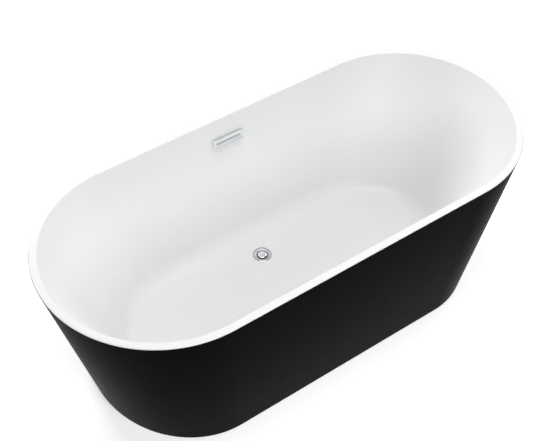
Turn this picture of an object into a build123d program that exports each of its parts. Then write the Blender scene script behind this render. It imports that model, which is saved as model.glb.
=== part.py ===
"""Freestanding bathtub: a white acrylic basin in a black acrylic skirt, standing on a steel frame.

Millimetres. The origin is on the floor under the middle of the tub. X runs along the tub, Y across it
towards the overflow, and Z up.
"""

import os
from dataclasses import dataclass
from math import atan2, cos, degrees, hypot, pi, sin

from build123d import *

# ---------------------------------------------------------------- driving dimensions
LENGTH = 1700.0
WIDTH = 750.0
HEIGHT = 580.0

RIM_WIDTH = 24.0
RIM_DEPTH = 3.0
RIM_ROUND = 2.0
RIM_END_REACH = 382.0
BASE_HALF_LENGTH = 701.0
BASE_HALF_WIDTH = 332.0
BASE_END_REACH = 300.0
SKIRT_GAP = 3.0

FLOOR_TOP = 135.0
FLOOR_HALF_LENGTH = 572.0
FLOOR_HALF_WIDTH = 224.0
FLOOR_END_REACH = 265.0
FLOOR_FILLET = 60.0

ACRYLIC = 5.0
FIBREGLASS = 4.0
SKIRT_BACKING = 3.0
BOND = 1.0

BOARD_THICKNESS = 18.0
TUBE_SIDE = 30.0
TUBE_WALL = 1.5

FITTINGS_X = -8.0
DRAIN_Y = 112.0
OVERFLOW_Z = 505.0

STUD_RADIUS = 6.0
THREAD_CLEARANCE = 0.05


# ---------------------------------------------------------------- tapered outlines
@dataclass(frozen=True)
class Section:
    """A plan outline at one height: two straight sides closed by half ellipses."""

    height: float
    half_length: float
    half_width: float
    end_reach: float

    def draw(self):
        """Sketch the outline's face at its height."""
        start = self.half_length - self.end_reach
        with BuildSketch(Plane.XY.offset(self.height)) as sketch:
            with BuildLine():
                Line((-start, -self.half_width), (start, -self.half_width))
                radii = (self.end_reach, self.half_width)
                EllipticalCenterArc((start, 0), *radii, start_angle=-90, arc_size=180)
                Line((start, self.half_width), (-start, self.half_width))
                EllipticalCenterArc((-start, 0), *radii, start_angle=90, arc_size=180)
            make_face()
        return sketch.sketch


@dataclass(frozen=True)
class Taper:
    """A wall surface ruled between two sections."""

    top: Section
    bottom: Section

    def slope(self, size):
        """Return how far one size of the section grows per millimetre of height."""
        rise = self.top.height - self.bottom.height
        return (getattr(self.top, size) - getattr(self.bottom, size)) / rise

    def at(self, height):
        """Return the section of the surface at a height."""
        up = height - self.bottom.height
        sizes = ("half_length", "half_width", "end_reach")
        return Section(height, *(getattr(self.bottom, size) + up * self.slope(size) for size in sizes))

    def inset(self, thickness):
        """Return the surface moved inwards, square to its walls; a negative thickness moves it out."""
        end = thickness * hypot(1, self.slope("half_length"))
        side = thickness * hypot(1, self.slope("half_width"))

        def moved(section):
            return Section(
                section.height,
                section.half_length - end,
                section.half_width - side,
                section.end_reach - end,
            )

        return Taper(moved(self.top), moved(self.bottom))

    def fill(self, low, high, mode=Mode.ADD):
        """Loft the space inside the surface between two heights into the part being built."""
        loft([self.at(low).draw(), self.at(high).draw()], ruled=True, mode=mode)

    def wall(self, thickness, low, high, mode=Mode.ADD):
        """Loft a wall from the surface inwards between two heights into the part being built."""
        with BuildPart(mode=Mode.PRIVATE) as solid:
            self.fill(low, high)
            self.inset(thickness).fill(low, high, mode=Mode.SUBTRACT)
        add(solid.part, mode=mode)


SKIRT_TOP = HEIGHT - RIM_DEPTH
SKIRT = Taper(
    Section(SKIRT_TOP, LENGTH / 2, WIDTH / 2, RIM_END_REACH),
    Section(0, BASE_HALF_LENGTH, BASE_HALF_WIDTH, BASE_END_REACH),
)
BASIN = Taper(
    Section(HEIGHT, LENGTH / 2 - RIM_WIDTH, WIDTH / 2 - RIM_WIDTH, RIM_END_REACH - RIM_WIDTH),
    Section(FLOOR_TOP, FLOOR_HALF_LENGTH, FLOOR_HALF_WIDTH, FLOOR_END_REACH),
)
BASIN_BACK = BASIN.inset(-ACRYLIC)
BASIN_OUTSIDE = BASIN.inset(-ACRYLIC - FIBREGLASS)

# heights under the basin floor
FLOOR_BACK = FLOOR_TOP - ACRYLIC
FLOOR_UNDERSIDE = FLOOR_BACK - FIBREGLASS
BOARD_BOTTOM = FLOOR_UNDERSIDE - BOARD_THICKNESS
RAIL_BOTTOM = BOARD_BOTTOM - TUBE_SIDE
CROSSBAR_BOTTOM = RAIL_BOTTOM - TUBE_SIDE


# ---------------------------------------------------------------- helpers
def ring(centre, low, high, outer, inner, mode=Mode.ADD):
    """Extrude an upright ring, or a disc when inner is 0, into the part being built."""
    with BuildSketch(Plane((centre[0], centre[1], low))) as profile:
        Circle(outer)
        if inner:
            Circle(inner, mode=Mode.SUBTRACT)
    extrude(profile.sketch, amount=high - low, mode=mode)


def hexagon(centre, low, high, across_flats, bore=0):
    """Extrude an upright hexagon with an optional bore into the part being built."""
    with BuildSketch(Plane((centre[0], centre[1], low))) as profile:
        RegularPolygon(across_flats / 2, 6, major_radius=False)
        if bore:
            Circle(bore, mode=Mode.SUBTRACT)
    extrude(profile.sketch, amount=high - low)


def block(low_corner, high_corner, mode=Mode.ADD):
    """Add a square-cornered block given by two opposite corners to the part being built."""
    size = [high - low for low, high in zip(low_corner, high_corner)]
    with BuildSketch(Plane(low_corner)) as profile:
        Rectangle(size[0], size[1], align=(Align.MIN, Align.MIN))
    extrude(profile.sketch, amount=size[2], mode=mode)


def turned(centre, outline):
    """Revolve a closed (radius, height) outline about the upright axis through a point."""
    with BuildSketch(Plane((centre[0], centre[1], 0), x_dir=(1, 0, 0), z_dir=(0, -1, 0))) as profile:
        Polygon(*outline, align=None)
    revolve(profile.sketch, axis=Axis((centre[0], centre[1], 0), (0, 0, 1)))


def save(builder, name):
    """Label a finished piece and write it as a STEP file."""
    builder.part.label = name
    export_step(builder.part, f"parts/{name}.step")


os.makedirs("parts", exist_ok=True)

DRAIN = (FITTINGS_X, DRAIN_Y)
DRAIN_HOLE = 26.5
DRAIN_RECESS_RADIUS = 32.5
DRAIN_RECESS = 3.5

# the overflow's own frame: origin on the basin wall, x along the tub, y up the wall, z into the basin
WALL_LEAN = atan2(BASIN.slope("half_width"), 1)
OVERFLOW = Plane(
    origin=(FITTINGS_X, BASIN.at(OVERFLOW_Z).half_width, OVERFLOW_Z),
    x_dir=(1, 0, 0),
    z_dir=(0, -cos(WALL_LEAN), sin(WALL_LEAN)),
)
OVERFLOW_WINDOW = (84.0, 16.0)
OVERFLOW_WATERWAY = (60.0, 14.0)
OVERFLOW_SCREW_X = 36.0
OVERFLOW_SCREW_RADIUS = 2.0


def overflow_window(near, far):
    """Cut the overflow's window, which its screws also pass through, between two depths of its frame."""
    with BuildSketch(OVERFLOW.offset(near)) as profile:
        SlotOverall(*OVERFLOW_WINDOW)
    extrude(profile.sketch, amount=far - near, mode=Mode.SUBTRACT)


def overflow_plate_holes(near, far):
    """Cut a plate's waterway and its two screw holes between two depths of the overflow's frame."""
    with BuildSketch(OVERFLOW.offset(near)) as profile:
        SlotOverall(*OVERFLOW_WATERWAY)
        with Locations((-OVERFLOW_SCREW_X, 0), (OVERFLOW_SCREW_X, 0)):
            Circle(OVERFLOW_SCREW_RADIUS)
    extrude(profile.sketch, amount=far - near, mode=Mode.SUBTRACT)


# ---------------------------------------------------------------- basin
with BuildPart() as basin_hollow:
    BASIN.fill(FLOOR_TOP, HEIGHT)
    fillet(basin_hollow.edges().group_by(Axis.Z)[0], FLOOR_FILLET)

with BuildPart() as basin_core:
    BASIN_BACK.fill(FLOOR_BACK, SKIRT_TOP)
    fillet(basin_core.edges().group_by(Axis.Z)[0], FLOOR_FILLET + ACRYLIC)

LIP_LOW = SKIRT_TOP - 22
LIP_OUTSIDE = SKIRT.inset(ACRYLIC + BOND)
RIM_OUTLINE = Section(SKIRT_TOP, LENGTH / 2 - 1, WIDTH / 2 - 1, RIM_END_REACH - 1)

with BuildPart() as basin_shell:
    add(basin_core.part)
    extrude(RIM_OUTLINE.draw(), amount=RIM_DEPTH)
    LIP_OUTSIDE.fill(HEIGHT - ACRYLIC, SKIRT_TOP)
    LIP_OUTSIDE.wall(ACRYLIC, LIP_LOW, SKIRT_TOP)
    add(basin_hollow.part, mode=Mode.SUBTRACT)
    fillet(basin_shell.edges().group_by(Axis.Z)[-1], RIM_ROUND)
    ring(DRAIN, FLOOR_TOP - DRAIN_RECESS, FLOOR_TOP, DRAIN_RECESS_RADIUS, 0, mode=Mode.SUBTRACT)
    ring(DRAIN, FLOOR_BACK, FLOOR_TOP, DRAIN_HOLE, 0, mode=Mode.SUBTRACT)
    overflow_window(-2 * ACRYLIC, ACRYLIC)
save(basin_shell, "basin_shell")

with BuildPart() as basin_fibreglass:
    BASIN_OUTSIDE.fill(FLOOR_UNDERSIDE, LIP_LOW)
    fillet(basin_fibreglass.edges().group_by(Axis.Z)[0], FLOOR_FILLET + ACRYLIC + FIBREGLASS)
    add(basin_core.part, mode=Mode.SUBTRACT)
    ring(DRAIN, FLOOR_UNDERSIDE, FLOOR_BACK, DRAIN_HOLE, 0, mode=Mode.SUBTRACT)
    # the sprayed layer is trimmed square round the acrylic's round-ended window
    with BuildSketch(OVERFLOW.offset(-4 * ACRYLIC)) as trimmed_window:
        Rectangle(*OVERFLOW_WINDOW)
    extrude(trimmed_window.sketch, amount=5 * ACRYLIC, mode=Mode.SUBTRACT)
save(basin_fibreglass, "basin_fibreglass")

# ---------------------------------------------------------------- skirt
SKIRT_FLANGE = 25.0
with BuildPart() as outer_skirt:
    SKIRT.wall(ACRYLIC, SKIRT_GAP, SKIRT_TOP)
    SKIRT.inset(ACRYLIC).wall(SKIRT_FLANGE, SKIRT_GAP, SKIRT_GAP + ACRYLIC)
save(outer_skirt, "outer_skirt")

with BuildPart() as skirt_fibreglass:
    SKIRT.inset(ACRYLIC).wall(SKIRT_BACKING, SKIRT_GAP + ACRYLIC, LIP_LOW - 4)
save(skirt_fibreglass, "skirt_fibreglass")

with BuildPart() as rim_bond:
    SKIRT.inset(ACRYLIC).wall(BOND, LIP_LOW, SKIRT_TOP)
save(rim_bond, "rim_bond")

# ---------------------------------------------------------------- base board
BOARD = Section(BOARD_BOTTOM, 500, 160, 200)
BOARD_NOTCH = 50.0
SCREW_XS = (-450.0, -150.0, 150.0, 450.0)
RAIL_Y = 50.0
FRAME_SCREW_RADIUS = 2.5
FRAME_SCREW_TOP = BOARD_BOTTOM + 13

with BuildPart() as base_board:
    extrude(BOARD.draw(), amount=BOARD_THICKNESS)
    ring(DRAIN, BOARD_BOTTOM, FLOOR_UNDERSIDE, BOARD_NOTCH, 0, mode=Mode.SUBTRACT)
    block(
        (FITTINGS_X - BOARD_NOTCH, DRAIN_Y, BOARD_BOTTOM),
        (FITTINGS_X + BOARD_NOTCH, BOARD.half_width + 1, FLOOR_UNDERSIDE),
        mode=Mode.SUBTRACT,
    )
    for x in SCREW_XS:
        for y in (-RAIL_Y, RAIL_Y):
            ring((x, y), BOARD_BOTTOM, FRAME_SCREW_TOP, FRAME_SCREW_RADIUS, 0, mode=Mode.SUBTRACT)
save(base_board, "base_board")

# ---------------------------------------------------------------- steel frame
RAIL_HALF_LENGTH = 480.0
CROSSBAR_X = 380.0
CROSSBAR_HALF_LENGTH = 300.0
CORNER_FOOT_Y = 250.0
STUD_HOLE = 6.5
FEET = [
    (-CROSSBAR_X, -CORNER_FOOT_Y),
    (CROSSBAR_X, -CORNER_FOOT_Y),
    (CROSSBAR_X, CORNER_FOOT_Y),
    (-CROSSBAR_X, CORNER_FOOT_Y),
    (0.0, 0.0),
]
BRACKET_BOLT_Y = 276.0
BRACKET_BOLT_RADIUS = 4.0


def square_tube(centre, half_length, along_x):
    """Extrude a square tube, centred on a point, into the part being built."""
    start = Plane.YZ if along_x else Plane.XZ
    along = start.z_dir * half_length
    with BuildSketch(Plane(Vector(*centre) - along, x_dir=start.x_dir, z_dir=start.z_dir)) as profile:
        Rectangle(TUBE_SIDE, TUBE_SIDE)
        Rectangle(TUBE_SIDE - 2 * TUBE_WALL, TUBE_SIDE - 2 * TUBE_WALL, mode=Mode.SUBTRACT)
    extrude(profile.sketch, amount=2 * half_length)


for name, y in (("frame_rail_front", -RAIL_Y), ("frame_rail_back", RAIL_Y)):
    with BuildPart() as frame_rail:
        square_tube((0, y, RAIL_BOTTOM + TUBE_SIDE / 2), RAIL_HALF_LENGTH, along_x=True)
        for x in SCREW_XS:
            ring((x, y), RAIL_BOTTOM, BOARD_BOTTOM, FRAME_SCREW_RADIUS, 0, mode=Mode.SUBTRACT)
    save(frame_rail, name)

for name, x in (("crossbar_left", -CROSSBAR_X), ("crossbar_right", CROSSBAR_X)):
    with BuildPart() as crossbar:
        square_tube((x, 0, CROSSBAR_BOTTOM + TUBE_SIDE / 2), CROSSBAR_HALF_LENGTH, along_x=False)
        for y in (-CORNER_FOOT_Y, CORNER_FOOT_Y):
            ring((x, y), CROSSBAR_BOTTOM, CROSSBAR_BOTTOM + TUBE_WALL, STUD_HOLE, 0, mode=Mode.SUBTRACT)
        for y in (-BRACKET_BOLT_Y, BRACKET_BOLT_Y):
            ring((x, y), RAIL_BOTTOM - TUBE_WALL, RAIL_BOTTOM, BRACKET_BOLT_RADIUS, 0, mode=Mode.SUBTRACT)
    save(crossbar, name)

with BuildPart() as crossbar_centre:
    square_tube((0, 0, RAIL_BOTTOM + TUBE_SIDE / 2), RAIL_Y - TUBE_SIDE / 2, along_x=False)
    ring((0, 0), RAIL_BOTTOM, RAIL_BOTTOM + TUBE_WALL, STUD_HOLE, 0, mode=Mode.SUBTRACT)
save(crossbar_centre, "crossbar_centre")

with BuildPart() as frame_screws:
    for x in SCREW_XS:
        for y in (-RAIL_Y, RAIL_Y):
            ring((x, y), RAIL_BOTTOM - 3, RAIL_BOTTOM, 5, 0)
            ring((x, y), RAIL_BOTTOM, FRAME_SCREW_TOP, FRAME_SCREW_RADIUS, 0)
save(frame_screws, "frame_screws")

# ---------------------------------------------------------------- skirt blocks and brackets
BRACKET_SHEET = 3.0
BRACKET_HALF_WIDTH = 30.0
BLOCK_Y = CROSSBAR_HALF_LENGTH + BRACKET_SHEET
BLOCK_LOW = RAIL_BOTTOM
BLOCK_HIGH = BLOCK_LOW + 40
BRACKET_SCREW_Z = BLOCK_LOW + 22
BRACKET_SCREW_X = 16.0
BRACKET_SCREW_RADIUS = 2.25
BRACKET_SCREW_LENGTH = 20.0
SKIRT_INSIDE = SKIRT.inset(ACRYLIC + SKIRT_BACKING)
CORNERS = [foot for foot in FEET if foot[1]]


def bracket_screws_at(corner, near, far, radius, mode=Mode.ADD):
    """Extrude the two bracket screws' round bodies between two distances from the tub's middle."""
    side = 1 if corner[1] > 0 else -1
    plane = Plane((corner[0], side * near, BRACKET_SCREW_Z), x_dir=(1, 0, 0), z_dir=(0, side, 0))
    with BuildSketch(plane) as profile:
        with Locations((-BRACKET_SCREW_X, 0), (BRACKET_SCREW_X, 0)):
            Circle(radius)
    extrude(profile.sketch, amount=far - near, mode=mode)


for number, corner in enumerate(CORNERS, start=1):
    side = 1 if corner[1] > 0 else -1
    with BuildPart() as skirt_block:
        low_y = side * SKIRT_INSIDE.at(BLOCK_LOW).half_width
        high_y = side * SKIRT_INSIDE.at(BLOCK_HIGH).half_width
        with BuildSketch(Plane.YZ.offset(corner[0] - BRACKET_HALF_WIDTH)):
            Polygon(
                (side * BLOCK_Y, BLOCK_LOW),
                (low_y, BLOCK_LOW),
                (high_y, BLOCK_HIGH),
                (side * BLOCK_Y, BLOCK_HIGH),
                align=None,
            )
        extrude(amount=2 * BRACKET_HALF_WIDTH)
        screw_end = CROSSBAR_HALF_LENGTH + BRACKET_SCREW_LENGTH
        bracket_screws_at(corner, BLOCK_Y, screw_end, BRACKET_SCREW_RADIUS, mode=Mode.SUBTRACT)
    save(skirt_block, f"skirt_block_{number}")

    with BuildPart() as skirt_bracket:
        near, far = sorted((side * (CROSSBAR_HALF_LENGTH - 42), side * BLOCK_Y))
        block(
            (corner[0] - BRACKET_HALF_WIDTH, near, RAIL_BOTTOM),
            (corner[0] + BRACKET_HALF_WIDTH, far, RAIL_BOTTOM + BRACKET_SHEET),
        )
        near, far = sorted((side * CROSSBAR_HALF_LENGTH, side * BLOCK_Y))
        block(
            (corner[0] - BRACKET_HALF_WIDTH, near, RAIL_BOTTOM),
            (corner[0] + BRACKET_HALF_WIDTH, far, BLOCK_HIGH - 4),
        )
        bolt = (corner[0], side * BRACKET_BOLT_Y)
        ring(bolt, RAIL_BOTTOM, RAIL_BOTTOM + BRACKET_SHEET, BRACKET_BOLT_RADIUS, 0, mode=Mode.SUBTRACT)
        bracket_screws_at(corner, CROSSBAR_HALF_LENGTH, BLOCK_Y, BRACKET_SCREW_RADIUS, mode=Mode.SUBTRACT)
    save(skirt_bracket, f"skirt_bracket_{number}")

with BuildPart() as bracket_bolts:
    for x, y in CORNERS:
        bolt = (x, BRACKET_BOLT_Y if y > 0 else -BRACKET_BOLT_Y)
        head = RAIL_BOTTOM + BRACKET_SHEET
        ring(bolt, RAIL_BOTTOM - 12, head, BRACKET_BOLT_RADIUS, 0)
        hexagon(bolt, head, head + 5.3, 13)
save(bracket_bolts, "bracket_bolts")

with BuildPart() as bracket_screws:
    for corner in CORNERS:
        bracket_screws_at(corner, CROSSBAR_HALF_LENGTH, screw_end, BRACKET_SCREW_RADIUS)
        bracket_screws_at(corner, CROSSBAR_HALF_LENGTH - 2.5, CROSSBAR_HALF_LENGTH, 4.5)
save(bracket_screws, "bracket_screws")

# ---------------------------------------------------------------- levelling feet
NUT_BORE = STUD_RADIUS + THREAD_CLEARANCE
WELD_NUT_HEIGHT = 8.0
LOCK_NUT_HEIGHT = 7.0
PAD_HEIGHT = 12.0
PAD_RADIUS = 24.0
PIN_RADIUS = 5.0
PIN_BOTTOM = 4.0
HEX_BOTTOM = PAD_HEIGHT + 0.5
HEX_TOP = HEX_BOTTOM + 7.5


def frame_underside(foot):
    """Return the height of the tube that a foot screws into: a crossbar, or the centre one."""
    return CROSSBAR_BOTTOM if foot[1] else RAIL_BOTTOM


with BuildPart() as weld_nuts:
    for foot in FEET:
        top = frame_underside(foot)
        hexagon(foot, top - WELD_NUT_HEIGHT, top, 18, NUT_BORE)
save(weld_nuts, "weld_nuts")

with BuildPart() as lock_nuts:
    for foot in FEET:
        top = frame_underside(foot) - WELD_NUT_HEIGHT
        hexagon(foot, top - LOCK_NUT_HEIGHT, top, 19, NUT_BORE)
save(lock_nuts, "lock_nuts")

for number, foot in enumerate(FEET, start=1):
    with BuildPart() as foot_pad:
        turned(foot, [(0, 0), (PAD_RADIUS, 0), (PAD_RADIUS, 4), (11, PAD_HEIGHT), (0, PAD_HEIGHT)])
        bore = PIN_RADIUS + THREAD_CLEARANCE
        ring(foot, PIN_BOTTOM, PAD_HEIGHT, bore, 0, mode=Mode.SUBTRACT)
    save(foot_pad, f"foot_pad_{number}")

    with BuildPart() as foot_stud:
        ring(foot, PIN_BOTTOM, HEX_BOTTOM, PIN_RADIUS, 0)
        hexagon(foot, HEX_BOTTOM, HEX_TOP, 14)
        ring(foot, HEX_TOP, frame_underside(foot) + 26, STUD_RADIUS, 0)
        chamfer(foot_stud.edges().group_by(Axis.Z)[-1], 1)
    save(foot_stud, f"foot_stud_{number}")

# ---------------------------------------------------------------- drain
BARREL_RADIUS = 25.0
BARREL_BORE = 21.0
BARREL_BOTTOM = 92.0
WELL_RADIUS = 19.5
SEAT_RADIUS = 15.5
SEAT_TOP = FLOOR_TOP - 8
FLANGE_RADIUS = 31.5
FLANGE_BOTTOM = FLOOR_TOP - 2.5
HUB_LOW, HUB_HIGH = 100.0, 110.0
HUB_RADIUS = 8.0
CARTRIDGE_RADIUS = 5.0
GASKET = 4.0
SHOE_TOP = FLOOR_UNDERSIDE - GASKET
SHOE_BOTTOM = 56.0
SHOE_RADIUS = 29.0
TAIL_RADIUS = 19.05
TAIL_BOTTOM = 10.0
TAIL_STEP = 42.0
TAIL_SOCKET = TAIL_RADIUS + 0.25
SIDE_PORT_Z = 80.0
SIDE_PORT_END = 170.0
HOSE_RADIUS = 11.0
HOSE_BORE = 9.0
SPIGOT_BORE = 7.0

with BuildPart() as drain_flange:
    turned(
        DRAIN,
        [
            (BARREL_BORE, BARREL_BOTTOM),
            (BARREL_RADIUS, BARREL_BOTTOM),
            (BARREL_RADIUS, FLANGE_BOTTOM),
            (FLANGE_RADIUS, FLANGE_BOTTOM),
            (FLANGE_RADIUS, FLOOR_TOP - 0.6),
            (FLANGE_RADIUS - 1.5, FLOOR_TOP + 0.6),
            (FLANGE_RADIUS - 4, FLOOR_TOP + 0.8),
            (WELL_RADIUS + 2, FLOOR_TOP - 0.6),
            (WELL_RADIUS, FLOOR_TOP - 1.6),
            (WELL_RADIUS, SEAT_TOP),
            (SEAT_RADIUS, SEAT_TOP),
            (SEAT_RADIUS, SEAT_TOP - 2.5),
            (BARREL_BORE, SEAT_TOP - 6),
        ],
    )
    ring(DRAIN, HUB_LOW, HUB_HIGH, HUB_RADIUS, CARTRIDGE_RADIUS)
    with BuildSketch(Plane((*DRAIN, HUB_LOW))):
        with PolarLocations((HUB_RADIUS + BARREL_BORE) / 2, 4):
            Rectangle(BARREL_BORE - HUB_RADIUS + 2, 3)
    extrude(amount=HUB_HIGH - HUB_LOW)
save(drain_flange, "drain_flange")

with BuildPart() as drain_top_gasket:
    ring(DRAIN, FLOOR_TOP - DRAIN_RECESS, FLANGE_BOTTOM, FLANGE_RADIUS, BARREL_RADIUS)
save(drain_top_gasket, "drain_top_gasket")

with BuildPart() as drain_bottom_gasket:
    ring(DRAIN, SHOE_TOP, FLOOR_UNDERSIDE, FLANGE_RADIUS + 4, BARREL_RADIUS)
save(drain_bottom_gasket, "drain_bottom_gasket")

with BuildPart() as drain_shoe:
    ring(DRAIN, SHOE_TOP - 6, SHOE_TOP, FLANGE_RADIUS + 4, 0)
    ring(DRAIN, SHOE_BOTTOM, SHOE_TOP - 6, SHOE_RADIUS, 0)
    side_plane = Plane((*DRAIN, SIDE_PORT_Z), x_dir=(1, 0, 0), z_dir=(0, 1, 0))
    with BuildSketch(side_plane):
        Circle(HOSE_RADIUS)
    extrude(amount=SHOE_RADIUS + 8)
    with BuildSketch(side_plane):
        Circle(HOSE_BORE)
    extrude(amount=SIDE_PORT_END - DRAIN_Y)
    with BuildSketch(side_plane):
        Circle(SPIGOT_BORE)
    extrude(amount=SIDE_PORT_END - DRAIN_Y, mode=Mode.SUBTRACT)
    ring(DRAIN, BARREL_BOTTOM - 2, SHOE_TOP, BARREL_RADIUS, 0, mode=Mode.SUBTRACT)
    ring(DRAIN, SHOE_BOTTOM, BARREL_BOTTOM - 2, TAIL_SOCKET, 0, mode=Mode.SUBTRACT)
save(drain_shoe, "drain_shoe")

with BuildPart() as tail_pipe:
    ring(DRAIN, TAIL_BOTTOM, TAIL_STEP, TAIL_RADIUS, TAIL_RADIUS - 1.5)
    ring(DRAIN, TAIL_STEP, SHOE_BOTTOM + 12, TAIL_SOCKET, TAIL_RADIUS - 1.5)
save(tail_pipe, "tail_pipe")

NUT_LOW = TAIL_STEP + 2
NUT_RADIUS = SHOE_RADIUS + 4
with BuildPart() as tail_washer:
    ring(DRAIN, SHOE_BOTTOM - 5, SHOE_BOTTOM, SHOE_RADIUS - 1, TAIL_SOCKET)
save(tail_washer, "tail_washer")

with BuildPart() as tail_nut:
    ring(DRAIN, NUT_LOW, SHOE_BOTTOM + 12, NUT_RADIUS, 0)
    with BuildSketch(Plane((*DRAIN, NUT_LOW))):
        with PolarLocations(NUT_RADIUS, 8):
            Circle(3)
    extrude(amount=SHOE_BOTTOM + 12 - NUT_LOW)
    ring(DRAIN, NUT_LOW, SHOE_BOTTOM - 5, TAIL_SOCKET + 0.5, 0, mode=Mode.SUBTRACT)
    ring(DRAIN, SHOE_BOTTOM - 5, SHOE_BOTTOM + 12, SHOE_RADIUS, 0, mode=Mode.SUBTRACT)
save(tail_nut, "tail_nut")

# ---------------------------------------------------------------- push stopper
SEAL_RADIUS = 18.0
SEAL_TOP = SEAT_TOP + 2.5
CAP_RADIUS = 15.5
CAP_TOP = FLOOR_TOP + 1.5
STEM_RADIUS = 3.5
CARTRIDGE_TOP = 117.0
SPRING_RADIUS = 5.6
SPRING_WIRE = 0.5

with BuildPart() as stopper_cap:
    turned(
        DRAIN,
        [
            (0, SEAL_TOP),
            (CAP_RADIUS - 2, SEAL_TOP),
            (CAP_RADIUS - 2, SEAL_TOP + 2),
            (CAP_RADIUS, SEAL_TOP + 3),
            (CAP_RADIUS, CAP_TOP - 1.2),
            (CAP_RADIUS - 1, CAP_TOP - 0.3),
            (CAP_RADIUS - 5, CAP_TOP),
            (0, CAP_TOP),
        ],
    )
save(stopper_cap, "stopper_cap")

with BuildPart() as stopper_seal:
    ring(DRAIN, SEAT_TOP, SEAL_TOP, SEAL_RADIUS, SPRING_RADIUS + 2)
save(stopper_seal, "stopper_seal")

with BuildPart() as stopper_stem:
    ring(DRAIN, HUB_LOW + 4, SEAL_TOP, STEM_RADIUS, 0)
    chamfer(stopper_stem.edges().group_by(Axis.Z)[0], 0.8)
save(stopper_stem, "stopper_stem")

with BuildPart() as stopper_cartridge:
    ring(DRAIN, HUB_LOW - 2, CARTRIDGE_TOP, CARTRIDGE_RADIUS, 0)
    ring(DRAIN, CARTRIDGE_TOP - 3, CARTRIDGE_TOP, HUB_RADIUS, 0)
    ring(DRAIN, HUB_LOW + 1, CARTRIDGE_TOP, STEM_RADIUS + THREAD_CLEARANCE, 0, mode=Mode.SUBTRACT)
save(stopper_cartridge, "stopper_cartridge")

with BuildPart() as stopper_spring:
    coil_low = CARTRIDGE_TOP + SPRING_WIRE
    coil_high = SEAL_TOP - SPRING_WIRE
    with BuildLine() as coil:
        Helix(2.2, coil_high - coil_low, SPRING_RADIUS, center=(*DRAIN, coil_low))
    with BuildSketch(Plane(coil.line @ 0, z_dir=coil.line % 0)):
        Circle(SPRING_WIRE)
    sweep(path=coil.line, is_frenet=True)
save(stopper_spring, "stopper_spring")

# ---------------------------------------------------------------- overflow
COVER_SIZE = (116.0, 33.5)
COVER_PROUD = 11.0
COVER_WALL = 2.0
SLOT_SIZE = (4.2, 5.0)
SLOT_PITCH = 7.9
SLOT_COUNT = 12
OVERFLOW_GASKET = 2.0
WALL_BACK = -ACRYLIC - FIBREGLASS
BODY_FRONT = WALL_BACK - OVERFLOW_GASKET
BODY_DEPTH = 17.0
BODY_SIZE = (104.0, 42.0)
BODY_DROP = 8.0
RETAINER = 3.0
SCREW_END = BODY_FRONT - 6

with BuildPart() as overflow_cover:
    with BuildSketch(OVERFLOW):
        RectangleRounded(*COVER_SIZE, 3)
    extrude(amount=COVER_PROUD)
    fillet(overflow_cover.faces().sort_by(OVERFLOW.location.z_axis)[-1].edges(), 1.5)
    with BuildSketch(OVERFLOW):
        RectangleRounded(COVER_SIZE[0] - 2 * COVER_WALL, COVER_SIZE[1] - 2 * COVER_WALL, 2)
    extrude(amount=COVER_PROUD - COVER_WALL, mode=Mode.SUBTRACT)
    with BuildSketch(OVERFLOW.offset(COVER_PROUD - COVER_WALL)):
        with GridLocations(SLOT_PITCH, 0, SLOT_COUNT, 1):
            Rectangle(*SLOT_SIZE)
    extrude(amount=COVER_WALL, mode=Mode.SUBTRACT)
save(overflow_cover, "overflow_cover")

with BuildPart() as overflow_retainer:
    with BuildSketch(OVERFLOW):
        RectangleRounded(COVER_SIZE[0] - 2 * COVER_WALL, COVER_SIZE[1] - 2 * COVER_WALL, 2)
    extrude(amount=RETAINER)
    overflow_plate_holes(0, RETAINER)
save(overflow_retainer, "overflow_retainer")

with BuildPart() as overflow_gasket:
    with BuildSketch(OVERFLOW.offset(BODY_FRONT)):
        RectangleRounded(BODY_SIZE[0], 30, 4)
    extrude(amount=OVERFLOW_GASKET)
    overflow_window(BODY_FRONT, WALL_BACK)
save(overflow_gasket, "overflow_gasket")

HOSE_TOP = Vector(FITTINGS_X, 342.8, 468)
HOSE_CORNER = Vector(FITTINGS_X, 316.3, SIDE_PORT_Z)
HOSE_END = Vector(FITTINGS_X, SIDE_PORT_END - 16, SIDE_PORT_Z)
HOSE_BEND = 70.0
HOSE_DOWN = (HOSE_CORNER - HOSE_TOP).normalized()
SPIGOT_LENGTH = 16.0

with BuildPart() as overflow_body:
    with BuildSketch(OVERFLOW.offset(BODY_FRONT - BODY_DEPTH)):
        with Locations((0, -BODY_DROP)):
            RectangleRounded(*BODY_SIZE, 5)
    extrude(amount=BODY_DEPTH)
    with BuildSketch(OVERFLOW.offset(BODY_FRONT - BODY_DEPTH + 2)):
        with Locations((0, -BODY_DROP)):
            RectangleRounded(OVERFLOW_WATERWAY[0], BODY_SIZE[1] - 6, 3)
    extrude(amount=BODY_DEPTH - 4, mode=Mode.SUBTRACT)
    spigot_start = HOSE_TOP - HOSE_DOWN * 8
    with BuildSketch(Plane(spigot_start, z_dir=HOSE_DOWN)):
        Circle(HOSE_BORE)
    extrude(amount=SPIGOT_LENGTH + 8)
    with BuildSketch(Plane(spigot_start, z_dir=HOSE_DOWN)):
        Circle(SPIGOT_BORE)
    extrude(amount=SPIGOT_LENGTH + 8, mode=Mode.SUBTRACT)
    overflow_plate_holes(BODY_FRONT - 2, BODY_FRONT)
    with BuildSketch(OVERFLOW.offset(SCREW_END)):
        with Locations((-OVERFLOW_SCREW_X, 0), (OVERFLOW_SCREW_X, 0)):
            Circle(OVERFLOW_SCREW_RADIUS)
    extrude(amount=BODY_FRONT - SCREW_END, mode=Mode.SUBTRACT)
save(overflow_body, "overflow_body")

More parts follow.
